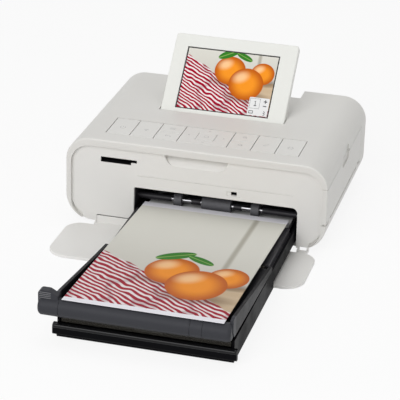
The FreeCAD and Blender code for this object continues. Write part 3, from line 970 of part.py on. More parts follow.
# The finished print: a postcard sheet with its two tear-off tabs, resting on the bar and rear cover.
print_sizes = {"print_half": 50, "print_long": 176, "print_thick": 0.28, "print_tail": 7,
               "print_tail_high": 19.15, "print_slope": -3.36}
sizes(print_sizes)
print_box = box("print_blank", ("print_mid-print_half", "print_mid+print_half"),
                ("print_tail-print_long*cos(print_slope)", "print_tail-print_long*cos(print_slope)+print_long"),
                ("print_tail_high-print_long*sin(print_slope)", "print_tail_high-print_long*sin(print_slope)+print_thick"))
print_box.Placement = Placement(Vector(), Rotation(Vector(1, 0, 0), 1))
bind(print_box, "Placement.Rotation.Angle", "print_slope")
node(print_box, "print_sheet")


def check(items):
    """Stop on any failed feature, or on a piece that is empty, invalid or not made of solids."""
    doc.recompute()
    for item in doc.Objects:
        if {"Invalid", "Error"} & set(item.State):
            raise RuntimeError(f"{item.Name} failed: {item.State}")
    for item in items:
        shape = item.Shape
        if shape.isNull() or not shape.isValid() or not shape.Solids:
            raise RuntimeError(f"{item.Label} has no valid solid")


check(nodes)
os.makedirs("parts", exist_ok=True)
for item in nodes:
    item.Shape.exportStep(os.path.join("parts", f"{item.Label}.step"))
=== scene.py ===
import math

import bmesh
import bpy
from mathutils import Matrix, Vector


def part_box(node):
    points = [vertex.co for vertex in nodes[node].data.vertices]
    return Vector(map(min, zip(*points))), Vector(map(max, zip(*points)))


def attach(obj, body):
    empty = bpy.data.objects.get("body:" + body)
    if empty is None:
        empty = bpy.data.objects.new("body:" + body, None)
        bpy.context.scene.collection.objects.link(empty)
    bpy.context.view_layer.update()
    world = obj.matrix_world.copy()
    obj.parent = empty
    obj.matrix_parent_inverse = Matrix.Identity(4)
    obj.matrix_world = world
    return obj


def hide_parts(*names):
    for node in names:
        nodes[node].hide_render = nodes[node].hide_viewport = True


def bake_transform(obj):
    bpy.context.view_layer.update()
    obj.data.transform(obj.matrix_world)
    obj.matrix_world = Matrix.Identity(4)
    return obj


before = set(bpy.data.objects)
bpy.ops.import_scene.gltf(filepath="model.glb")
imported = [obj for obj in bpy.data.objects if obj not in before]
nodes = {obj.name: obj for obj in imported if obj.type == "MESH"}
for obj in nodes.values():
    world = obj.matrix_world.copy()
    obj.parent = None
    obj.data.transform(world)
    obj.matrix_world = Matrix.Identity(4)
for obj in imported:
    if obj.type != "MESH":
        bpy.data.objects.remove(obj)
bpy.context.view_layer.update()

mm = 0.001

# Top cover: one moulding of warm white plastic that wraps over the top and down both sides. Its
# rounded front and rear rims stand proud of the panels; the whole skin has a fine spark grain.


def alone(piece):
    """Leave only this piece selected, and active."""
    bpy.ops.object.select_all(action="DESELECT")
    piece.select_set(True)
    bpy.context.view_layer.objects.active = piece


def merged(node, weld=0.002 * mm, flat=math.radians(0.4)):
    """A copy of a solid, its loose triangles joined into whole faces, to be finished as a moulding."""
    piece = nodes[node].copy()
    piece.data = nodes[node].data.copy()
    piece.name = f"{node}_moulding"
    piece.parent = None
    for mark in list(piece.keys()):
        del piece[mark]
    bpy.context.scene.collection.objects.link(piece)
    piece.data.materials.clear()
    alone(piece)
    bpy.ops.object.mode_set(mode="EDIT")
    bpy.ops.mesh.select_all(action="SELECT")
    bpy.ops.mesh.remove_doubles(threshold=weld)
    bpy.ops.mesh.dissolve_limited(angle_limit=flat)
    bpy.ops.object.mode_set(mode="OBJECT")
    return piece


def smooth(piece, angle=35):
    """Smooth the round faces and keep the flat ones flat."""
    alone(piece)
    bpy.ops.object.shade_smooth_by_angle(angle=math.radians(angle))
    bpy.ops.object.modifier_add(type="WEIGHTED_NORMAL")
    piece.modifiers[-1].keep_sharp = True
    bpy.ops.object.modifier_apply(modifier=piece.modifiers[-1].name)
    return piece


def soften(piece, width, steps=2, angle=35):
    """Break the sharp edges, as every moulding or stamping has them."""
    alone(piece)
    bpy.ops.object.modifier_add(type="BEVEL")
    rounding = piece.modifiers[-1]
    rounding.width = width
    rounding.segments = steps
    rounding.limit_method = "ANGLE"
    rounding.angle_limit = math.radians(angle)
    bpy.ops.object.modifier_apply(modifier=rounding.name)
    return smooth(piece, angle)


def fit(piece, finish, slot, body, *replaced):
    """Give a piece its finish and its body; it stands for the solids that it was made from."""
    piece.data.materials.clear()
    piece.data.materials.append(finish)
    if replaced:
        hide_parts(*replaced)
    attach(piece, body)


def clad(node, finish, slot, body, width=0.0, steps=2, angle=35):
    """Finish a solid as it is, its edges broken by a width, or only smoothed where that is 0."""
    piece = merged(node)
    piece = soften(piece, width, steps, angle) if width else smooth(piece, angle)
    fit(piece, finish, slot, body, node)


def wire(tree, kind, **settings):
    """Add a shader node; in_NAME and in_NUMBER are its sockets, other names its settings."""
    made = tree.nodes.new(f"ShaderNode{kind}")
    for name, value in settings.items():
        if not name.startswith("in_"):
            setattr(made, name, value)
            continue
        key = name[3:].replace("_", " ")
        socket = made.inputs[int(key) if key.isdigit() else key]
        if isinstance(value, bpy.types.NodeSocket):
            tree.links.new(value, socket)
        else:
            socket.default_value = value
    return made


def sums(tree, operation, *values):
    """The result of a Math node."""
    settings = {f"in_{number}": value for number, value in enumerate(values)}
    return wire(tree, "Math", operation=operation, **settings).outputs[0]


def effect(name, inputs, outputs):
    """A new shader node group; gives the tree, its inputs' sockets and its outputs' sockets."""
    tree = bpy.data.node_groups.new(name, "ShaderNodeTree")
    for label, (kind, value) in inputs.items():
        socket = tree.interface.new_socket(label, in_out="INPUT", socket_type=f"NodeSocket{kind}")
        socket.default_value = value
    for label, kind in outputs.items():
        tree.interface.new_socket(label, in_out="OUTPUT", socket_type=f"NodeSocket{kind}")
    return tree, tree.nodes.new("NodeGroupInput").outputs, tree.nodes.new("NodeGroupOutput").inputs


def new_finish(name):
    """A new material; gives it, its node tree and its shader."""
    finish = bpy.data.materials.new(name)
    finish.use_nodes = True
    return finish, finish.node_tree, finish.node_tree.nodes["Principled BSDF"]


def emboss(tree, shader, height, relief, deep):
    """Let a height show as relief in the surface."""
    bump = wire(tree, "Bump", in_Strength=relief, in_Distance=deep, in_Height=height)
    tree.links.new(bump.outputs["Normal"], shader.inputs["Normal"])


def skinned(name, group, colour, rough, relief, deep, **settings):
    """A material whose colour, roughness and relief come from a shared skin."""
    finish, tree, shader = new_finish(name)
    skin = wire(tree, "Group", node_tree=group, in_Colour=(*colour, 1), in_Roughness=rough, **settings)
    tree.links.new(skin.outputs["Colour"], shader.inputs["Base Color"])
    tree.links.new(skin.outputs["Roughness"], shader.inputs["Roughness"])
    emboss(tree, shader, skin.outputs["Height"], relief, deep)
    return finish, shader


moulded_skin, given, result = effect(
    "moulded_skin",
    {"Colour": ("Color", (0.8, 0.8, 0.8, 1)), "Roughness": ("Float", 0.5), "Grain": ("Float", 2400.0),
     "Cloud": ("Float", 0.03), "Handling": ("Float", 0.05)},
    {"Colour": "Color", "Roughness": "Float", "Height": "Float"})
place = wire(moulded_skin, "TexCoord").outputs["Object"]
grain = wire(moulded_skin, "TexNoise", in_Vector=place, in_Scale=given["Grain"], in_Detail=2.0,
             in_Roughness=0.6)
cloud = wire(moulded_skin, "TexNoise", in_Vector=place, in_Scale=14.0, in_Detail=3.0)
spread = sums(moulded_skin, "MULTIPLY_ADD", cloud.outputs["Fac"], 2.0, -1.0)
shade = sums(moulded_skin, "MULTIPLY_ADD", spread, given["Cloud"], 1.0)
tinted = wire(moulded_skin, "VectorMath", operation="SCALE", in_0=given["Colour"], in_Scale=shade)
smudge = wire(moulded_skin, "TexNoise", in_Vector=place, in_Scale=45.0, in_Detail=5.0, in_Roughness=0.65)
rubbed = wire(moulded_skin, "MapRange", in_Value=smudge.outputs["Fac"], in_From_Min=0.42, in_From_Max=0.66)
changed = sums(moulded_skin, "MULTIPLY_ADD", rubbed.outputs[0], given["Handling"], given["Roughness"])
moulded_skin.links.new(tinted.outputs[0], result["Colour"])
moulded_skin.links.new(changed, result["Roughness"])
moulded_skin.links.new(grain.outputs["Fac"], result["Height"])
grain_deep = 0.04 * mm


def plastic(name, colour, rough, grain=2400, relief=0.12, cloud=0.02, handling=0.05, coat=0.0, specular=0.5):
    """A moulded plastic: colour as it is under plain light, grain in waves to the metre."""
    finish, shader = skinned(name, moulded_skin, colour, rough, relief, grain_deep,
                             in_Grain=float(grain), in_Cloud=cloud, in_Handling=handling)
    shader.inputs["Coat Weight"].default_value = coat
    shader.inputs["Coat Roughness"].default_value = 0.08
    shader.inputs["Specular IOR Level"].default_value = specular
    return finish


housing_white = plastic("housing_white", (0.745, 0.735, 0.705), 0.42)
edge_break = 0.18 * mm
clad("top_cover", housing_white, "housing_white", "housing", edge_break)

# Bottom case: a flat grey tray of the same plastic, screwed up into the top cover's posts; under
# its corners sit four black rubber feet with a ring moulded in their soles.
case_grey = plastic("case_grey", (0.42, 0.42, 0.41), 0.55, grain=1500, relief=0.3)
clad("bottom_case", case_grey, "base_grey", "housing", edge_break)


def done(name):
    """Name the new piece and put its place into its mesh."""
    piece = bpy.context.object
    piece.name = name
    bpy.ops.object.transform_apply(location=True, rotation=True, scale=True)
    return piece


lay_along = {"x": (0, math.pi / 2, 0), "y": (math.pi / 2, 0, 0), "z": (0, 0, 0)}


def barrel(name, centre, radius, length, axis="x", sides=48):
    """A round bar about its middle, along an axis."""
    bpy.ops.object.select_all(action="DESELECT")
    bpy.ops.mesh.primitive_cylinder_add(vertices=sides, radius=radius, depth=length, location=centre,
                                        rotation=lay_along[axis])
    return done(name)


def edit(piece, test=lambda part: True, kind="faces"):
    """Edit the piece with the faces, edges or verts selected that pass a test; gives its mesh."""
    alone(piece)
    bpy.ops.object.mode_set(mode="EDIT")
    bpy.ops.mesh.select_mode(type={"faces": "FACE", "edges": "EDGE", "verts": "VERT"}[kind])
    bpy.ops.mesh.select_all(action="DESELECT")
    shape = bmesh.from_edit_mesh(piece.data)
    for part in getattr(shape, kind):
        if test(part):
            part.select_set(True)
    shape.select_flush_mode()
    bmesh.update_edit_mesh(piece.data)
    return shape


def close_mesh():
    """Back from edit mode."""
    bpy.ops.object.mode_set(mode="OBJECT")


def facing(way, least=0.99):
    """A test for faces that look along a direction."""
    return lambda face: face.normal.dot(Vector(way)) > least


def join(name, *pieces):
    """Make several meshes one piece."""
    bpy.ops.object.select_all(action="DESELECT")
    for piece in pieces:
        piece.select_set(True)
    bpy.context.view_layer.objects.active = pieces[0]
    if len(pieces) > 1:
        bpy.ops.object.join()
    pieces[0].name = name
    return pieces[0]


def corner_places(low, high, inset):
    """Four places in plan, an inset within a box's corners."""
    return [(x, y) for x in (low.x + inset, high.x - inset) for y in (low.y + inset, high.y - inset)]


foot_rubber = plastic("foot_rubber", (0.03, 0.03, 0.032), 0.75, grain=1200, relief=0.5, handling=0.1)
feet_low, feet_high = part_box("rubber_feet")
foot_radius, sole_ring, sole_deep = 5 * mm, 1.4 * mm, 0.4 * mm
feet = []
for x, y in corner_places(feet_low, feet_high, foot_radius):
    middle = (x, y, (feet_low.z + feet_high.z) / 2)
    foot = barrel("foot", middle, foot_radius, feet_high.z - feet_low.z, "z")
    edit(foot, facing((0, 0, -1)))
    bpy.ops.mesh.inset(thickness=sole_ring)
    bpy.ops.mesh.inset(thickness=sole_deep)
    bpy.ops.transform.translate(value=(0, 0, sole_deep))
    close_mesh()
    feet.append(foot)
small_edge = 0.15 * mm
fit(soften(join("feet", *feet), small_edge), foot_rubber, "foot_rubber", "housing", "rubber_feet")

# Case screws: four cross-head steel screws with a plain shank, turned up from deep counterbores of
# the bottom case into the top cover's posts.


def block(name, low, high):
    """A block between two corners."""
    low, high = Vector(low), Vector(high)
    bpy.ops.object.select_all(action="DESELECT")
    bpy.ops.mesh.primitive_cube_add(size=1, location=(low + high) / 2, scale=high - low)
    return done(name)


def extrude(way):
    """Draw the selected faces out or in."""
    bpy.ops.mesh.extrude_region_move(TRANSFORM_OT_translate={"value": way})


def carve(piece, cutter):
    """Cut the cutter out of the piece."""
    alone(piece)
    bpy.ops.object.modifier_add(type="BOOLEAN")
    taking = piece.modifiers[-1]
    taking.object = cutter
    taking.operation = "DIFFERENCE"
    taking.solver = "EXACT"
    bpy.ops.object.modifier_apply(modifier=taking.name)
    bpy.data.objects.remove(cutter)
    return piece


drawn_metal, given, result = effect(
    "drawn_metal",
    {"Colour": ("Color", (0.6, 0.6, 0.6, 1)), "Roughness": ("Float", 0.3),
     "Stretch": ("Vector", (40, 2500, 2500)), "Tarnish": ("Float", 0.1)},
    {"Colour": "Color", "Roughness": "Float", "Height": "Float"})
place = wire(drawn_metal, "TexCoord").outputs["Object"]
drawn = wire(drawn_metal, "VectorMath", operation="MULTIPLY", in_0=place, in_1=given["Stretch"])
lines = wire(drawn_metal, "TexNoise", in_Vector=drawn.outputs[0], in_Scale=1.0, in_Detail=3.0)
stain = wire(drawn_metal, "TexNoise", in_Vector=place, in_Scale=60.0, in_Detail=4.0)
dull = sums(drawn_metal, "MULTIPLY", stain.outputs["Fac"], given["Tarnish"])
fade = sums(drawn_metal, "SUBTRACT", 1.0, dull)
toned = wire(drawn_metal, "VectorMath", operation="SCALE", in_0=given["Colour"], in_Scale=fade)
drawn_metal.links.new(toned.outputs[0], result["Colour"])
drawn_metal.links.new(sums(drawn_metal, "ADD", dull, given["Roughness"]), result["Roughness"])
drawn_metal.links.new(lines.outputs["Fac"], result["Height"])
line_deep = 0.02 * mm


def metal(name, colour, rough, stretch=(40, 2500, 2500), tarnish=0.1, relief=0.05):
    """A drawn, rolled or turned metal; stretch is its lines' waves to the metre on each axis."""
    finish, shader = skinned(name, drawn_metal, colour, rough, relief, line_deep,
                             in_Stretch=stretch, in_Tarnish=tarnish)
    shader.inputs["Metallic"].default_value = 1.0
    return finish


screw_steel = metal("screw_steel", (0.42, 0.42, 0.43), 0.35, stretch=(900, 900, 900))
screws_low, screws_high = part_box("case_screws")
head_radius, head_high, shank_radius = 2.6 * mm, 1.5 * mm, 1.2 * mm
shank_long = screws_high.z - screws_low.z - head_high
cross_wide, cross_deep, cross_below = 0.7 * mm, 0.9 * mm, 1 * mm
screws = []
for x, y in corner_places(screws_low, screws_high, head_radius):
    screw = barrel("screw", (x, y, screws_low.z + head_high / 2), head_radius, head_high, "z", 32)
    edit(screw, facing((0, 0, 1)))
    bpy.ops.mesh.inset(thickness=head_radius - shank_radius)
    extrude((0, 0, shank_long))
    close_mesh()
    sole = Vector((x, y, screws_low.z))
    for wide, deep in ((cross_wide, 4 * cross_wide), (4 * cross_wide, cross_wide)):
        half = Vector((wide / 2, deep / 2, 0))
        carve(screw, block("cross", sole - half - Vector((0, 0, cross_below)),
                           sole + half + Vector((0, 0, cross_deep))))
    screws.append(screw)
fine_edge = 0.1 * mm
fit(soften(join("screws", *screws), fine_edge), screw_steel, "screw_steel", "housing", "case_screws")

# Front panel: a flat white moulding set back inside the front rim. It has the card slot, the
# finger scoop, the latch hole in its shallow recess and the wide cassette opening.
panel_white = plastic("panel_white", (0.80, 0.79, 0.765), 0.36)
clad("front_panel", panel_white, "panel_white", "housing", edge_break)

# Rear panel: the same moulding at the back, with the paper slot, a row of air vents and the holes
# for the two sockets.
clad("rear_panel", panel_white, "panel_white", "housing", edge_break)

# Paper guide: a black plastic liner behind the cassette opening, open to the front, that leads the
# sheets. Bearings for the pickup shaft are moulded in it.
guide_black = plastic("guide_black", (0.022, 0.021, 0.025), 0.42, handling=0.1, specular=0.3)
clad("paper_guide", guide_black, "guide_black", "housing", small_edge)

# Pickup rollers: three grey rubber tyres, finely grooved, pressed on a steel shaft. Black plastic
# sleeves cover the shaft, and the steel shows only in the short gaps between them.
shaft_steel = metal("shaft_steel", (0.42, 0.42, 0.44), 0.26, stretch=(60, 3000, 3000))
roller_rubber = plastic("roller_rubber", (0.105, 0.105, 0.115), 0.62, grain=5000, relief=0.6)
clad("pickup_shaft", shaft_steel, "shaft_steel", "pickup")
tyre_low, tyre_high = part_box("pickup_rollers")
tyre_mid = (tyre_low + tyre_high) / 2
tyre_radius, bore_radius = (tyre_high.z - tyre_low.z) / 2, 1.52 * mm
small_wide, big_wide = 5.3 * mm, 20 * mm
tyre_spans = ((tyre_low.x, small_wide), (tyre_mid.x - big_wide / 2, big_wide),
              (tyre_high.x - small_wide, small_wide))
groove_wide, groove_deep = 0.7 * mm, 0.18 * mm
waist = 1 - groove_deep / tyre_radius
tyres = []
for left, wide in tyre_spans:
    centre = Vector((left + wide / 2, tyre_mid.y, tyre_mid.z))
    tyre = barrel("tyre", centre, tyre_radius, wide, "x", 64)
    cuts = int(wide / (2 * groove_wide)) * 2
    step = wide / (cuts + 1)
    edit(tyre, lambda edge: abs(edge.verts[0].co.x - edge.verts[1].co.x) > wide / 2, "edges")
    bpy.ops.mesh.subdivide(number_cuts=cuts)
    close_mesh()
    edit(tyre, lambda vert: round((vert.co.x - left) / step) in range(2, cuts, 3), "verts")
    bpy.ops.transform.resize(value=(1, waist, waist), center_override=centre)
    close_mesh()
    tyres.append(carve(tyre, barrel("bore", centre, bore_radius, wide * 2, "x", 32)))
rim_angle = 50
fit(smooth(join("tyres", *tyres), rim_angle), roller_rubber, "roller_rubber", "pickup", "pickup_rollers")
sleeve_spans, sleeve_radius = ((-44, -19.5), (-5.5, 0.8), (24, 29.5), (44, 70.5)), 2.2 * mm
sleeves = []
for left, right in sleeve_spans:
    centre, wide = ((left + right) / 2 * mm, tyre_mid.y, tyre_mid.z), (right - left) * mm
    sleeve = barrel("sleeve", centre, sleeve_radius, wide, "x", 48)
    sleeves.append(carve(sleeve, barrel("bore", centre, bore_radius, wide * 2, "x", 32)))
sleeves = soften(join("shaft_sleeves", *sleeves), small_edge, angle=rim_angle)
fit(sleeves, guide_black, "guide_black", "pickup")

# Chassis and motor bracket: zinc-plated sheet steel. The chassis is one sheet folded up at both
# sides and bored for the shafts, and the bracket holds the motors against it.
zinc_steel = metal("zinc_steel", (0.55, 0.56, 0.57), 0.38, stretch=(300, 300, 300), tarnish=0.25)
clad("chassis", zinc_steel, "chassis_steel", "housing", small_edge, steps=1)
clad("motor_bracket", zinc_steel, "chassis_steel", "housing")

# Motors: two small round motors in steel cases. Each has a pressed end cap with the bearing's boss
# in it, and two brass terminals beside the boss.
motor_steel = metal("motor_steel", (0.50, 0.50, 0.51), 0.30, stretch=(40, 900, 900))
terminal_brass = metal("terminal_brass", (0.70, 0.52, 0.22), 0.3, stretch=(500, 500, 500))
cap_inset, cap_deep, boss_share = 1.2 * mm, 0.5 * mm, 0.35
tag_wide, tag_high, tag_out = 0.4 * mm, 1.8 * mm, 0.9 * cap_deep
round_edge = 0.2 * mm
for label in ("feed_motor", "ribbon_motor"):
    low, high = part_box(label)
    centre, radius = (low + high) / 2, (high.z - low.z) / 2
    case = barrel(label + "_case", centre, radius, high.x - low.x, "x", 64)
    edit(case, facing((-1, 0, 0)))
    bpy.ops.mesh.inset(thickness=cap_inset)
    extrude((cap_deep, 0, 0))
    bpy.ops.mesh.inset(thickness=radius * (1 - boss_share) - cap_inset)
    extrude((-cap_deep, 0, 0))
    close_mesh()
    fit(soften(case, round_edge, 3, rim_angle), motor_steel, "motor_steel", "housing", label)
    tags = []
    for side in (-1, 1):
        foot = Vector((low.x + cap_deep, centre.y + side * radius / 2, centre.z))
        half = Vector((0, tag_wide / 2, tag_high / 2))
        tags.append(block("tag", foot - half - Vector((tag_out, 0, 0)), foot + half))
    fit(join(label + "_terminals", *tags), terminal_brass, "pinion_brass", "housing")

# Gears: moulded wheels of pale acetal, pushed on the shafts outside the left side plate, and a
# cut brass pinion on the shaft of each motor.
gear_acetal = plastic("gear_acetal", (0.72, 0.70, 0.62), 0.35, grain=900, relief=0.05)
pinion_brass = metal("pinion_brass", (0.72, 0.55, 0.25), 0.25, stretch=(200, 2000, 2000))
tooth_angle = 25
for label, body in (("feed_gear", "feed_roller"), ("idler_gear", "idler"), ("pickup_gear", "pickup"),
                    ("ribbon_gear", "take_up")):
    clad(label, gear_acetal, "gear_plastic", body, angle=tooth_angle)
for label in ("motor_pinion", "ribbon_pinion"):
    clad(label, pinion_brass, "pinion_brass", label, angle=tooth_angle)

# Feed, pinch and platen rollers: a gritted steel capstan, a white plastic roller above it and a
# soft black platen under the thermal head.
feed_steel = metal("feed_steel", (0.55, 0.55, 0.56), 0.5, stretch=(4000, 4000, 4000), relief=0.5)
pinch_white = plastic("pinch_white", (0.70, 0.70, 0.67), 0.4)
platen_rubber = plastic("platen_rubber", (0.03, 0.03, 0.032), 0.55, grain=4000, relief=0.4)
for label, body, finish, slot in (("feed_roller", "feed_roller", feed_steel, "shaft_steel"),
                                  ("pinch_roller", "pinch_roller", pinch_white, "pinch_plastic"),
                                  ("platen_shaft", "platen", shaft_steel, "shaft_steel"),
                                  ("platen_roller", "platen", platen_rubber, "platen_rubber")):
    clad(label, finish, slot, body, round_edge, angle=rim_angle)

# Ink cartridge: a dark grey twin-tube case with the ribbon wound on two white spools; the ribbon
# has panels of yellow, magenta and cyan one after the other.
cartridge_grey = plastic("cartridge_grey", (0.10, 0.10, 0.11), 0.42, grain=1800, relief=0.25)
spool_white = plastic("spool_white", (0.68, 0.68, 0.66), 0.4)
clad("cartridge_case", cartridge_grey, "cartridge_grey", "housing")
clad("supply_spool", spool_white, "spool_plastic", "supply")
clad("take_up_spool", spool_white, "spool_plastic", "take_up")
panel_long = 26 * mm
yellow, magenta, cyan = (0.75, 0.55, 0.02, 1), (0.50, 0.01, 0.16, 1), (0.01, 0.20, 0.42, 1)
dye_film, tree, shader = new_finish("dye_film")
place = wire(tree, "TexCoord").outputs["Object"]
along = wire(tree, "SeparateXYZ", in_0=place).outputs["Y"]
dyes = wire(tree, "ValToRGB", in_Fac=sums(tree, "FRACT", sums(tree, "DIVIDE", along, panel_long)))
stops = dyes.color_ramp.elements
dyes.color_ramp.interpolation = "CONSTANT"
stops[0].color = yellow
for at, dye in ((0.33, magenta), (0.66, cyan)):
    stops.new(at).color = dye
stops.remove(stops[-1])
tree.links.new(dyes.outputs["Color"], shader.inputs["Base Color"])
creases = wire(tree, "TexNoise", in_Scale=120.0, in_Vector=place)
emboss(tree, shader, creases.outputs["Fac"], 0.2, 0.2 * mm)
shader.inputs["Roughness"].default_value = 0.18
for label, body in (("supply_film", "supply"), ("used_film", "take_up"), ("ink_ribbon", "housing")):
    clad(label, dye_film, "film_roll", body)

# Thermal head: a glazed ceramic heater bar under a finned aluminium sink. Both are carried by a
# pivoted arm of zinc-plated steel that lowers them onto the platen.
glazed_ceramic = plastic("glazed_ceramic", (0.66, 0.64, 0.58), 0.15, coat=0.5)
sink_aluminium = metal("sink_aluminium", (0.70, 0.70, 0.71), 0.33, stretch=(30, 2000, 2000))
clad("thermal_head", glazed_ceramic, "head_ceramic", "head")
clad("heat_sink", sink_aluminium, "sink_aluminium", "head", small_edge)
clad("head_arm", zinc_steel, "chassis_steel", "head")

# Main board: green lacquered glass fibre with black chips, a row of capacitors, white connectors
# and fine tracks under the lacquer; the card socket and the rear sockets are soldered to it.


def layer(tree, mask, under, over):
    """One colour over another where the mask is 1."""
    mixed = wire(tree, "Mix", data_type="RGBA", in_0=mask)
    for name, colour in (("A", under), ("B", over)):
        if isinstance(colour, bpy.types.NodeSocket):
            tree.links.new(colour, mixed.inputs[name])
        else:
            mixed.inputs[name].default_value = (*colour, 1)
    return mixed.outputs["Result"]


lacquer, tree, shader = new_finish("board_lacquer")
place = wire(tree, "TexCoord").outputs["Object"]
routes = wire(tree, "TexVoronoi", feature="F1", distance="MANHATTAN", in_Vector=place, in_Scale=420.0)
bands = sums(tree, "PINGPONG", routes.outputs["Distance"], 0.18)
track = wire(tree, "MapRange", in_Value=bands, in_From_Min=0.07, in_From_Max=0.09).outputs[0]
greens = layer(tree, track, (0.010, 0.085, 0.035), (0.020, 0.150, 0.060))
tree.links.new(greens, shader.inputs["Base Color"])
emboss(tree, shader, track, 0.3, 0.03 * mm)
shader.inputs["Roughness"].default_value = 0.3
shader.inputs["Coat Weight"].default_value = 0.4
clad("main_board", lacquer, "board_green", "housing")
clad("key_board", lacquer, "board_green", "housing")
socket_steel = metal("socket_steel", (0.60, 0.60, 0.61), 0.28, stretch=(600, 600, 600))
socket_dark = plastic("socket_dark", (0.012, 0.012, 0.013), 0.4)
clad("card_socket", socket_dark, "guide_black", "housing")
# Painted shade: thin dark blocks line the card slot's walls through the panel's thickness, to look like the
# shade deep in the slot.
slot_left, slot_step, slot_right = -66.3, -45.0, -41.0
slot_low, slot_shelf, slot_top, liner_wall = 46.6, 48.3, 50.3, 0.2
slot_near, slot_far, stagger = 2.45, 5.25, 0.01
slot_walls = (((slot_left, slot_low), (slot_step, slot_low + liner_wall)),
              ((slot_step - liner_wall, slot_low), (slot_step, slot_shelf)),
              ((slot_step - liner_wall, slot_shelf), (slot_right, slot_shelf + liner_wall)),
              ((slot_left, slot_top - liner_wall), (slot_right, slot_top)),
              ((slot_left, slot_low), (slot_left + liner_wall, slot_top)),
              ((slot_right - liner_wall, slot_shelf), (slot_right, slot_top)))
slot_liner = []
for step, (low, high) in enumerate(slot_walls):
    near, far = (slot_near + stagger * step) * mm, (slot_far - stagger * step) * mm
    slot_liner.append(block("liner", (low[0] * mm, near, low[1] * mm), (high[0] * mm, far, high[1] * mm)))
fit(smooth(join("slot_liner", *slot_liner)), socket_dark, "guide_black", "housing")
clad("rear_sockets", socket_steel, "socket_metal", "housing")
board_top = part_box("main_board")[1].z
chip_black = plastic("chip_black", (0.02, 0.02, 0.02), 0.5, grain=3000)
chips = []
for x, y, wide, deep, tall in ((-78, 70, 12, 12, 1.4), (-62, 68, 9, 9, 1.2), (-79, 92, 7, 10, 1.2),
                               (-66, 96, 5, 8, 1.0), (-75, 45, 8, 12, 1.3), (-60, 46, 6, 6, 1.0)):
    corner = Vector((x * mm, y * mm, board_top))
    chips.append(block("chip", corner, corner + Vector((wide, deep, tall)) * mm))
fit(soften(join("chips", *chips), small_edge), chip_black, "guide_black", "housing")
can_x, can_last, can_step, can_count = -82.2 * mm, 106, 6.5, 4
can_radius, can_tall, can_rim, can_dip = 2.5 * mm, 6 * mm, 0.4 * mm, 0.25 * mm
cans = []
for i in range(can_count):
    spot = Vector((can_x, (can_last - can_step * i) * mm, board_top + can_tall / 2))
    can = barrel("can", spot, can_radius, can_tall, "z", 32)
    edit(can, facing((0, 0, 1)))
    bpy.ops.mesh.inset(thickness=can_rim)
    bpy.ops.transform.translate(value=(0, 0, -can_dip))
    close_mesh()
    cans.append(can)
fit(soften(join("capacitors", *cans), round_edge), sink_aluminium, "sink_aluminium", "housing")
plug_tall, plug_wall, plug_deep = 4, 0.7 * mm, 2.5 * mm
plugs = []
for x, y, wide, deep in ((-84, 20, 5, 16), (-66, 36, 12, 4), (-56, 76, 4, 9)):
    corner = Vector((x * mm, y * mm, board_top))
    plug = block("plug", corner, corner + Vector((wide, deep, plug_tall)) * mm)
    edit(plug, facing((0, 0, 1)))
    bpy.ops.mesh.inset(thickness=plug_wall)
    extrude((0, 0, -plug_deep))
    close_mesh()
    plugs.append(plug)
fit(soften(join("connectors", *plugs), fine_edge), spool_white, "spool_plastic", "housing")

# Keys: flat white plastic caps, flush with the top and a little dished, each with a soft rounded
# edge, a light grey printed mark and the solid's own stem below.
key_white = plastic("key_white", (0.775, 0.768, 0.74), 0.40)
key_ink = plastic("key_ink", (0.36, 0.36, 0.36), 0.5, grain=3000, relief=0.0)
print_proud = 0.02 * mm


def strokes(name, lines, at, thick=0.28, proud=print_proud):
    """Printed lines, in millimetres about a point on the surface."""
    curve = bpy.data.curves.new(name, "CURVE")
    curve.dimensions = "3D"
    curve.bevel_depth = thick * mm / 2
    curve.bevel_resolution = 1
    curve.use_fill_caps = True
    for line in lines:
        closed = line[0] == line[-1]
        points = line[:-1] if closed else line
        spline = curve.splines.new("POLY")
        spline.points.add(len(points) - 1)
        for point, (x, y) in zip(spline.points, points):
            point.co = (at[0] + x * mm, at[1] + y * mm, 0, 1)
        spline.use_cyclic_u = closed
    piece = bpy.data.objects.new(name, curve)
    bpy.context.scene.collection.objects.link(piece)
    alone(piece)
    bpy.ops.object.convert(target="MESH")
    piece = bpy.context.object
    piece.scale = (1, 1, 2 * proud / (thick * mm))
    piece.location = (0, 0, at[2])
    return done(name)


def ring(radius, start=0, end=360, x=0, y=0, steps=24):
    """Points of an arc in degrees, counter-clockwise."""
    turn = [math.radians(start + (end - start) * i / steps) for i in range(steps + 1)]
    points = [(round(x + radius * math.cos(a), 4), round(y + radius * math.sin(a), 4)) for a in turn]
    return points[:-1] + points[:1] if end - start == 360 else points


def frame_line(wide, high, x=0, y=0):
    """Points of a rectangle about its middle."""
    left, right, low, top = x - wide / 2, x + wide / 2, y - high / 2, y + high / 2
    return [(left, low), (right, low), (right, top), (left, top), (left, low)]


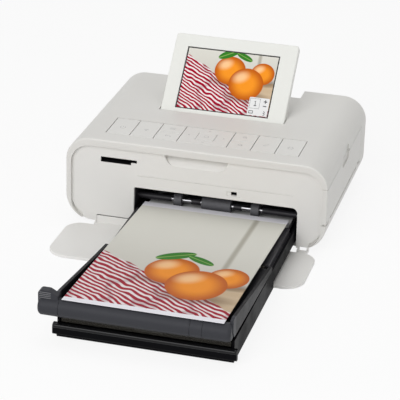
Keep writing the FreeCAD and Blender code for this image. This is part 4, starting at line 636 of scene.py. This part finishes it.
loupe = [ring(1.3, x=-0.4, y=0.4), [(0.55, -0.55), (1.6, -1.6)]]
dash = [[(-1.0, 0.4), (0.2, 0.4)]]
legends = {
    "power_key": [ring(1.9, 120, 420), [(0, 0.3), (0, 2.4)]],
    "wireless_key": [ring(2.6, 45, 135, y=-1.2), ring(1.6, 45, 135, y=-1.2), ring(0.35, y=-1.0)],
    "menu_key": [[(-1.9, 1.2), (1.9, 1.2)], [(-1.9, 0), (1.9, 0)], [(-1.9, -1.2), (1.9, -1.2)]],
    "back_key": [[(1.6, -1.3), (2.1, -0.6), (2.1, 0.3), (1.3, 0.9), (-1.8, 0.9)],
                 [(-0.8, 1.8), (-1.8, 0.9), (-0.8, 0)]],
    "zoom_in_key": loupe + dash + [[(-0.4, -0.2), (-0.4, 1.0)]],
    "zoom_out_key": loupe + dash,
    "edit_key": [[(-1.8, -1.8), (-1.4, -0.7), (1.1, 1.8), (1.9, 1.0), (-0.6, -1.5), (-1.8, -1.8)]],
    "print_key": [frame_line(3.8, 1.6), [(-1.2, 0.8), (-1.2, 2.2), (1.2, 2.2), (1.2, 0.8)],
                  [(-1.2, -0.2), (-1.2, -1.9), (1.2, -1.9), (1.2, -0.2)]],
    "four_way_pad": [[(-12.6, 0), (-11.6, 0.8)], [(-12.6, 0), (-11.6, -0.8)], [(12.6, 0), (11.6, 0.8)],
                     [(12.6, 0), (11.6, -0.8)], [(0, 10.6), (-0.8, 9.8)], [(0, 10.6), (0.8, 9.8)],
                     [(0, -10.6), (-0.8, -9.8)], [(0, -10.6), (0.8, -9.8)]],
    "ok_key": [ring(1.6)],
}
key_round, key_thick, key_dish = 0.45 * mm, 2.2 * mm, 0.06 * mm
pad_clear, below_cap = Vector((0.25, 0.25, 9)) * mm, 0.01 * mm
tall_key, legend_drop = 20 * mm, 1.3 * mm
for label, lines in legends.items():
    low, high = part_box(label)
    stems = merged(label)
    cap = block(label + "_cap", (low.x, low.y, high.z - key_thick), high)
    edit(cap, facing((0, 0, 1)))
    bpy.ops.mesh.inset(thickness=key_round * 2)
    bpy.ops.transform.translate(value=(0, 0, -key_dish))
    close_mesh()
    if label == "four_way_pad":
        hole_low, hole_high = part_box("ok_key")
        carve(cap, block("hole", hole_low - pad_clear, hole_high + pad_clear))
    edit(stems, lambda face: min(vert.co.z for vert in face.verts) > high.z - key_thick - below_cap)
    bpy.ops.mesh.delete(type="FACE")
    bpy.ops.mesh.select_all(action="SELECT")
    bpy.ops.mesh.fill_holes(sides=0)
    bpy.ops.mesh.normals_make_consistent(inside=False)
    close_mesh()
    cap = soften(join(label + "_cap", cap, stems), key_round / 2, 3)
    fit(cap, key_white, "key_white", label, label)
    at = Vector(((low.x + high.x) / 2, (low.y + high.y) / 2, high.z - key_dish + print_proud * 0.2))
    if high.y - low.y > tall_key and label != "four_way_pad":
        at.y -= legend_drop
    fit(strokes(label + "_legend", lines, at), key_ink, "guide_black", label)

# Front door: a flat white plate, lying open on the table on two pins under the panel; the cassette
# passes over it. Its small hook latches into the panel's hole when the door is shut.
door_white = plastic("door_white", (0.82, 0.81, 0.785), 0.38)
clad("front_door", door_white, "door_white", "front_door", edge_break)
strip_low, strip_high = Vector((-68.4, 1.0, 1.4)) * mm, Vector((-46.3, 2.3, 6.9)) * mm
wide_edge = 0.3 * mm
strip = soften(block("hinge_strip", strip_low, strip_high), wide_edge, 3)
fit(strip, door_white, "door_white", "front_door")

# Ink door: the lower part of the right side, in the cover's own plastic, on pins at its foot. Two
# fine ribs in its finger pull give a nail something to catch.
clad("ink_door", housing_white, "housing_white", "ink_door", fine_edge)
# Painted highlight: the ribs take the lighter door white, not the door's own housing white, so they stand out
# as if lit.
pull_floor, pull_middle, pull_long, pull_radius = 88.85 * mm, 62.5 * mm, 18 * mm, 0.55 * mm
pull_ribs = []
for height in (43.7 * mm, 45.8 * mm):
    pull_ribs.append(barrel("rib", (pull_floor, pull_middle, height), pull_radius, pull_long, "y", 24))
pull_ribs = soften(join("pull_ribs", *pull_ribs), round_edge, 3, rim_angle)
fit(pull_ribs, door_white, "door_white", "ink_door")

# Screen: a white frame and back snapped together, standing on two pins in the recess; a black
# display panel sits behind the frame's opening and shows the picture that is being printed.
screen_white = plastic("screen_white", (0.84, 0.845, 0.805), 0.34)
clad("screen_frame", screen_white, "screen_white", "screen", small_edge)
clad("screen_back", screen_white, "screen_white", "screen")
panel_black = plastic("panel_black", (0.006, 0.006, 0.007), 0.12, relief=0.0, cloud=0.0, coat=0.3)
clad("display_glass", panel_black, "display", "screen")


def ramp(tree, value, low, high):
    """1 at low, 0 at high, soft between."""
    eased = wire(tree, "MapRange", interpolation_type="SMOOTHSTEP", in_Value=value, in_From_Min=low,
                 in_From_Max=high, in_To_Min=1.0, in_To_Max=0.0)
    return eased.outputs[0]


def distance(tree, place):
    """How far a place is from the origin."""
    return wire(tree, "VectorMath", operation="LENGTH", in_0=place).outputs["Value"]


def oval(tree, place, middle, size, turn, soft):
    """A mask of an oval on the picture, sizes as shares of its width, and the place within it."""
    moved = wire(tree, "Mapping", vector_type="TEXTURE", in_Vector=place, in_Location=(*middle, 0),
                 in_Rotation=(0, 0, math.radians(turn)), in_Scale=(*size, 1)).outputs[0]
    return ramp(tree, distance(tree, moved), 1 - soft, 1 + soft), moved


still, given, result = effect("still_life", {"Place": ("Vector", (0, 0, 0))}, {"Colour": "Color"})
place = given["Place"]
apart = wire(still, "SeparateXYZ", in_0=place)
across, along = apart.outputs["X"], apart.outputs["Y"]
wall = layer(still, ramp(still, along, 0.2, 1.0), (0.72, 0.71, 0.65), (0.58, 0.56, 0.50))
seam_far = sums(still, "ABSOLUTE", sums(still, "SUBTRACT", across, 0.80))
seam = sums(still, "MULTIPLY", ramp(still, seam_far, 0.004, 0.030), 0.6)
wall = layer(still, seam, wall, (0.27, 0.24, 0.18))
fibres = wire(still, "VectorMath", operation="MULTIPLY", in_0=place, in_1=(1.0, 9.0, 1.0))
timber = wire(still, "TexNoise", in_Scale=3.0, in_Detail=4.0, in_Vector=fibres.outputs[0])
wood = layer(still, timber.outputs["Fac"], (0.50, 0.36, 0.22), (0.68, 0.54, 0.38))
picture = layer(still, ramp(still, along, 0.395, 0.405), wall, wood)
crumple = wire(still, "TexNoise", in_Vector=place, in_Scale=4.0, in_Detail=2.0).outputs["Fac"]
cloth_rise = sums(still, "MULTIPLY_ADD", across, -0.55, 0.56)
cloth_edge = sums(still, "MULTIPLY_ADD", crumple, 0.16, cloth_rise)
cloth = ramp(still, sums(still, "SUBTRACT", along, cloth_edge), 0.0, 0.012)
lean = sums(still, "MULTIPLY_ADD", across, 0.55, along)
weave = sums(still, "MULTIPLY_ADD", crumple, 0.14, lean)
red = ramp(still, sums(still, "PINGPONG", weave, 0.020), 0.0100, 0.0122)
stripes = layer(still, red, (0.84, 0.76, 0.77), (0.36, 0.002, 0.022))
fold = sums(still, "PINGPONG", sums(still, "MULTIPLY_ADD", crumple, 0.6, across), 0.13)
fold_shade = sums(still, "MULTIPLY", ramp(still, fold, 0.0, 0.05), 0.35)
stripes = layer(still, fold_shade, stripes, (0.16, 0.01, 0.03))
picture = layer(still, cloth, picture, stripes)
for (x, y), size in (((0.86, 0.50), 0.13), ((0.50, 0.50), 0.17), ((0.70, 0.36), 0.19)):
    shadow, _ = oval(still, place, (x + 0.03, y - size * 0.8), (size * 1.15, size * 0.35), 0, 0.5)
    picture = layer(still, sums(still, "MULTIPLY", shadow, 0.6), picture, (0.12, 0.06, 0.03))
    fruit, inner = oval(still, place, (x, y), (size, size), 0, 0.02)
    peel = layer(still, ramp(still, distance(still, inner), 0.35, 1.05), (0.50, 0.10, 0.008),
                 (0.90, 0.30, 0.02))
    shine, _ = oval(still, place, (x - size * 0.35, y + size * 0.4), (size * 0.4, size * 0.28), 30, 0.7)
    peel = layer(still, sums(still, "MULTIPLY", shine, 0.6), peel, (1.0, 0.75, 0.45))
    picture = layer(still, fruit, picture, peel)
for middle, size, turn in (((0.46, 0.70), (0.13, 0.045), 28), ((0.63, 0.68), (0.10, 0.035), -24)):
    blade, inner = oval(still, place, middle, size, turn, 0.04)
    rib = sums(still, "ABSOLUTE", wire(still, "SeparateXYZ", in_0=inner).outputs["Y"])
    green = layer(still, ramp(still, rib, 0.05, 0.16), (0.035, 0.20, 0.02), (0.24, 0.42, 0.10))
    picture = layer(still, blade, picture, green)
still.links.new(picture, result["Colour"])
bare_paper = (0.88, 0.87, 0.92)


def picture_finish(name, rough, glow=0.0, tall=1.0, low=0.0, high=1.0):
    """The picture on a surface's own map; below low and above high the paper is bare."""
    finish, tree, shader = new_finish(name)
    on_map = wire(tree, "UVMap", uv_map="picture").outputs[0]
    place = wire(tree, "Mapping", vector_type="TEXTURE", in_Vector=on_map, in_Location=(0, low, 0),
                 in_Scale=(1, (high - low) / tall, 1)).outputs[0]
    shown = wire(tree, "Group", node_tree=still, in_Place=place).outputs[0]
    up = wire(tree, "SeparateXYZ", in_0=on_map).outputs["Y"]
    bare = sums(tree, "MAXIMUM", sums(tree, "LESS_THAN", up, low), sums(tree, "GREATER_THAN", up, high))
    colour = layer(tree, bare, shown, bare_paper)
    tree.links.new(colour, shader.inputs["Base Color"])
    if glow:
        tree.links.new(colour, shader.inputs["Emission Color"])
        shader.inputs["Emission Strength"].default_value = glow
    shader.inputs["Roughness"].default_value = rough
    shader.inputs["Specular IOR Level"].default_value = 0.06
    return finish


def mapped(name, low, high, height, cuts=(1, 1)):
    """A flat sheet in a level plane with a map that fills it."""
    bpy.ops.object.select_all(action="DESELECT")
    bpy.ops.mesh.primitive_grid_add(x_subdivisions=cuts[0], y_subdivisions=cuts[1], size=1,
                                    location=((low[0] + high[0]) / 2, (low[1] + high[1]) / 2, height))
    bpy.context.object.scale = (high[0] - low[0], high[1] - low[1], 1)
    sheet = done(name)
    sheet.data.uv_layers[0].name = "picture"
    return sheet


def thicken(sheet, thickness, offset=0):
    """Give a flat sheet its thickness, all its faces turned outward."""
    alone(sheet)
    bpy.ops.object.modifier_add(type="SOLIDIFY")
    sheet.modifiers[-1].thickness = thickness
    sheet.modifiers[-1].offset = offset
    bpy.ops.object.modifier_apply(modifier=sheet.modifiers[-1].name)
    edit(sheet)
    bpy.ops.mesh.normals_make_consistent(inside=False)
    close_mesh()
    return sheet


pivot, tilt = Vector((0, 71.1, 60)) * mm, math.radians(46)
glass_top, window = 2.7 * mm, ((-34.3 * mm, 3.2 * mm), (32.3 * mm, 50.7 * mm))
bezel, layer_gap, tablet_corner = 0.9 * mm, 0.02 * mm, 0.6 * mm


def stand(piece, name):
    """Turn a piece from the shut screen's level frame up to where the screen stands."""
    alone(piece)
    piece.matrix_world = Matrix.Translation(pivot) @ Matrix.Rotation(tilt, 4, "X") @ piece.matrix_world
    return done(name)


def tablet(name, middle, size, height):
    """A thin rounded plate, level, about its middle."""
    bpy.ops.object.select_all(action="DESELECT")
    bpy.ops.mesh.primitive_plane_add(size=1, location=(*middle, height))
    bpy.context.object.scale = (size[0], size[1], 1)
    plate = done(name)
    edit(plate, kind="verts")
    bpy.ops.mesh.bevel(offset=tablet_corner, segments=4, affect="VERTICES")
    close_mesh()
    return plate


lit_picture = picture_finish("lit_picture", 0.2, glow=0.12, tall=0.72)
shown_at = glass_top + layer_gap
low = (window[0][0] + bezel, window[0][1] + bezel)
high = (window[1][0] - bezel, window[1][1] - bezel)
shown = thicken(mapped("display_picture", low, high, shown_at), layer_gap / 2)
fit(stand(shown, "display_picture"), lit_picture, "display", "screen")
mark_white = plastic("mark_white", (0.86, 0.86, 0.86), 0.3, relief=0.0)
mark_dark = plastic("mark_dark", (0.05, 0.05, 0.06), 0.3, relief=0.0)
plate_wide, plate_tall, edge_in = 14.2 * mm, 13.6 * mm, 0.3 * mm
plate_spot = (high[0] - edge_in - plate_wide / 2, low[1] + edge_in + plate_tall / 2)
plate = tablet("display_marks", plate_spot, (plate_wide, plate_tall), shown_at + layer_gap)
fit(stand(thicken(plate, layer_gap / 2), "display_marks"), mark_white, "display", "screen")
digits_at, digit_proud = Vector((*plate_spot, shown_at + 2.5 * layer_gap)), 0.01 * mm
digit_lines = (
    ("count_box", 0.25, [frame_line(7, 7.4, -2.9, 2.2)]),
    ("count", 0.55, [[(-3.2, 3.3), (-2.5, 4.0), (-2.5, 0.6)], [(-3.4, 0.6), (-1.6, 0.6)]]),
    ("plus_sign", 0.7, [[(3.2, 4.2), (5.6, 4.2)], [(4.4, 3.0), (4.4, 5.4)]]),
    ("minus_sign", 0.7, [[(3.2, 0.8), (5.6, 0.8)]]),
    ("sheet", 0.6, [frame_line(2.6, 1.8, -4.6, -4.4)]),
    ("total", 0.4, [ring(0.65, -120, 110, 4.4, -3.8), ring(0.75, -110, 120, 4.4, -5.2)]))
digits = [strokes(name, lines, digits_at, thick, digit_proud) for name, thick, lines in digit_lines]
fit(stand(join("display_digits", *digits), "display_digits"), mark_dark, "display", "screen")

# Paper cassette: a glossy black tray with a rolled lip in front, a dark fixed cover over its rear
# end, and inside it the stack of sheets on a sprung lift plate.
tray_black = plastic("tray_black", (0.006, 0.006, 0.007), 0.34, grain=900, relief=0.06, handling=0.12,
                     specular=0.015)
cover_grey = plastic("cover_grey", (0.014, 0.013, 0.017), 0.34, grain=1600, handling=0.1, specular=0.18)
clad("cassette_tray", tray_black, "tray_black", "cassette", edge_break)
bead_black = plastic("bead_black", (0.006, 0.006, 0.007), 0.12, relief=0.02, specular=0.2)
bead_radius, bead_round, bead_front, bead_middle = 1.5 * mm, 1.2 * mm, -164.4 * mm, 9.2 * mm
tray_low, tray_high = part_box("cassette_tray")
bead_centre = ((tray_low.x + tray_high.x) / 2, bead_front, bead_middle)
bead = barrel("lip_bead", bead_centre, bead_radius, tray_high.x - tray_low.x, "x", 48)
fit(soften(bead, bead_round, 6, rim_angle), bead_black, "tray_black", "cassette")
clad("cassette_rear_cover", cover_grey, "lid_charcoal", "cassette", 0.25 * mm)
spring_steel = metal("spring_steel", (0.62, 0.62, 0.63), 0.25, stretch=(30, 1500, 1500))
lift_plastic = plastic("lift_plastic", (0.22, 0.22, 0.23), 0.45)
clad("lift_plate", lift_plastic, "lift_plastic", "cassette", wide_edge)
clad("lift_springs", spring_steel, "spring_steel", "cassette")
sheet_thick, shadow_share = 0.28 * mm, 0.25
stack_paper, tree, shader = new_finish("stack_paper")
height = wire(tree, "SeparateXYZ", in_0=wire(tree, "TexCoord").outputs["Object"]).outputs["Z"]
level = sums(tree, "FRACT", sums(tree, "DIVIDE", height, sheet_thick))
between = sums(tree, "LESS_THAN", level, shadow_share)
edges = layer(tree, between, (0.80, 0.80, 0.79), (0.42, 0.42, 0.42))
tree.links.new(edges, shader.inputs["Base Color"])
shader.inputs["Roughness"].default_value = 0.35
clad("paper_stack", stack_paper, "paper_white", "cassette", fine_edge)

# Inner lid: a smoky, slightly see-through plastic cover over the front of the stack. It turns on
# the same line as the outer lid, and has a small clip on its front skirt.
smoke = plastic("smoke", (0.056, 0.052, 0.045), 0.22, grain=900, relief=0.05, specular=0.2)
smoke.node_tree.nodes["Principled BSDF"].inputs["Alpha"].default_value = 0.88
clad("inner_lid", smoke, "lid_smoke", "inner_lid", small_edge)

# Outer lid: a charcoal moulding folded forward on its pins; behind the bar its arms carry painted shade,
# nearly black.
# The round grip bar carries the print: grooves part it, and its raised thumb end is finely ribbed.
charcoal = plastic("charcoal", (0.047, 0.048, 0.055), 0.38, grain=2200, relief=0.2, handling=0.08,
                   specular=0.07)
bar_back, arm_painted_shade = -159.5 * mm, (0.010, 0.010, 0.012)
tree = charcoal.node_tree
shader, skin = tree.nodes["Principled BSDF"], tree.nodes["Group"]
along = wire(tree, "SeparateXYZ", in_0=wire(tree, "TexCoord").outputs["Object"]).outputs["Y"]
# Painted shade: from the bar back, the lid's colour turns near black, as if the arms lay in shadow.
arms = sums(tree, "GREATER_THAN", along, bar_back)
tree.links.new(layer(tree, arms, skin.outputs["Colour"], arm_painted_shade), shader.inputs["Base Color"])
bar_middle, bar_radius = Vector((0, -166, 22.9)) * mm, 5.9 * mm
bar_groove_deep, bar_groove_wide, cutter_over = 0.35 * mm, 0.45 * mm, 1 * mm
lid = merged("outer_lid")
for x in (-37.6, 43.6, 51.3):
    centre = Vector((x * mm, bar_middle.y, bar_middle.z))
    cutter = barrel("cutter", centre, bar_radius + cutter_over, bar_groove_wide, "x", 96)
    carve(cutter, barrel("core", centre, bar_radius - bar_groove_deep, bar_groove_wide * 3, "x", 96))
    carve(lid, cutter)
fit(soften(lid, small_edge), charcoal, "lid_charcoal", "outer_lid", "outer_lid")
# Painted highlight: the thumb ribs get a lighter grey than the lid around them, as if they caught the light.
knurl_painted_highlight = plastic("knurl_painted_highlight", (0.15, 0.15, 0.16), 0.45)
thumb_low, thumb_high = Vector((-50.2, -168.6, 25.5)) * mm, Vector((-43.0, -168.6, 32.5)) * mm
thumb_middle, thumb_wide = (thumb_low.x + thumb_high.x) / 2, thumb_high.x - thumb_low.x
rib_count, rib_proud = 7, 0.25 * mm
ribs = []
for i in range(rib_count):
    z = thumb_low.z + (thumb_high.z - thumb_low.z) * i / (rib_count - 1)
    ribs.append(barrel("rib", (thumb_middle, thumb_low.y + rib_proud / 2, z), rib_proud, thumb_wide, "x", 12))
fit(smooth(join("thumb_ribs", *ribs)), knurl_painted_highlight, "lid_charcoal", "outer_lid")

# Finished print: a glossy postcard sheet with a blank tear-off tab at each end. It lies on the
# grip bar and on the rear cover.
print_low, print_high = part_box("print_sheet")
print_long, rear_tab, front_tab = print_high.y - print_low.y, 7.5 * mm, 5 * mm
slope = math.atan2(print_high.z - print_low.z - sheet_thick, print_long)
glossy_print = picture_finish("glossy_print", 0.24, tall=1.35, low=front_tab / print_long,
                              high=1 - rear_tab / print_long)
sheet = mapped("print", (print_low.x, print_low.y), (print_high.x, print_high.y), 0, (8, 60))
shape = edit(sheet, kind="verts")
for vert in shape.verts:
    vert.co.z = print_low.z + (print_high.y - vert.co.y) * math.tan(slope)
bmesh.update_edit_mesh(sheet.data)
close_mesh()
smooth(thicken(sheet, sheet_thick, 1))
sheet.data.materials.append(glossy_print)
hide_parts("print_sheet")
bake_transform(sheet)

# Studio: a pale floor with a soft shadow, three broad lamps and the camera at the photograph's
# height and side. Floor and sky look white where they are seen, without more light on the printer.


def seen_directly(tree):
    """1 for what the camera sees, also in a mirror or through glass."""
    rays = wire(tree, "LightPath").outputs
    return sums(tree, "MAXIMUM", rays["Is Camera Ray"],
                sums(tree, "MAXIMUM", rays["Is Glossy Ray"], rays["Is Transmission Ray"]))


floor_glow, floor_size, floor_drop = 0.86, 8, 0.1 * mm
paper_floor, tree, shader = new_finish("paper_floor")
shader.inputs["Base Color"].default_value = (0.95, 0.95, 0.95, 1)
shader.inputs["Roughness"].default_value = 0.9
white = wire(tree, "Emission", in_Strength=1.0)
mixed = wire(tree, "MixShader", in_0=sums(tree, "MULTIPLY", seen_directly(tree), floor_glow),
             in_1=shader.outputs[0], in_2=white.outputs[0])
tree.links.new(mixed.outputs[0], tree.nodes["Material Output"].inputs["Surface"])
bpy.ops.object.select_all(action="DESELECT")
bpy.ops.mesh.primitive_plane_add(size=floor_size, location=(0, 0, -floor_drop))
floor = done("floor")
floor.data.materials.append(paper_floor)

sky_light = 0.35
world = bpy.data.worlds.new("studio")
bpy.context.scene.world = world
world.use_nodes = True
tree = world.node_tree
sky = tree.nodes["Background"]
sky.inputs["Color"].default_value = (1, 1, 1, 1)
strength = wire(tree, "MapRange", in_Value=seen_directly(tree), in_To_Min=sky_light, in_To_Max=1.0)
tree.links.new(strength.outputs[0], sky.inputs["Strength"])

lamp_aim = Vector((0, 0, 0.03))
lamps = (("front_lamp", (-0.3, -1.35, 0.9), 1.1, 13), ("top_lamp", (0.1, 0.2, 1.4), 1.0, 4.5),
         ("side_lamp", (1.4, -0.4, 0.7), 0.8, 1.5))
for label, spot, size, power in lamps:
    light = bpy.data.lights.new(label, "AREA")
    light.size = size
    light.energy = power
    lamp = bpy.data.objects.new(label, light)
    lamp.location = spot
    lamp.rotation_euler = (lamp_aim - Vector(spot)).to_track_quat("-Z", "Y").to_euler()
    bpy.context.scene.collection.objects.link(lamp)

view_from = (0.297895, -1.147908, 0.555022)
view_right = Vector((0.965392, 0.259419, 0.026819))
view_up = Vector((-0.129006, 0.385630, 0.913590))
view_ahead = Vector((-0.226661, 0.885433, -0.405751))
view_turn = Matrix((view_right, view_up, -view_ahead)).transposed().to_4x4()
lens = bpy.data.cameras.new("camera")
lens.lens = 174.59
lens.sensor_width = 36
camera = bpy.data.objects.new("camera", lens)
camera.matrix_world = Matrix.Translation(view_from) @ view_turn
bpy.context.scene.collection.objects.link(camera)
bpy.context.scene.camera = camera
bpy.context.scene.view_settings.view_transform = "Standard"
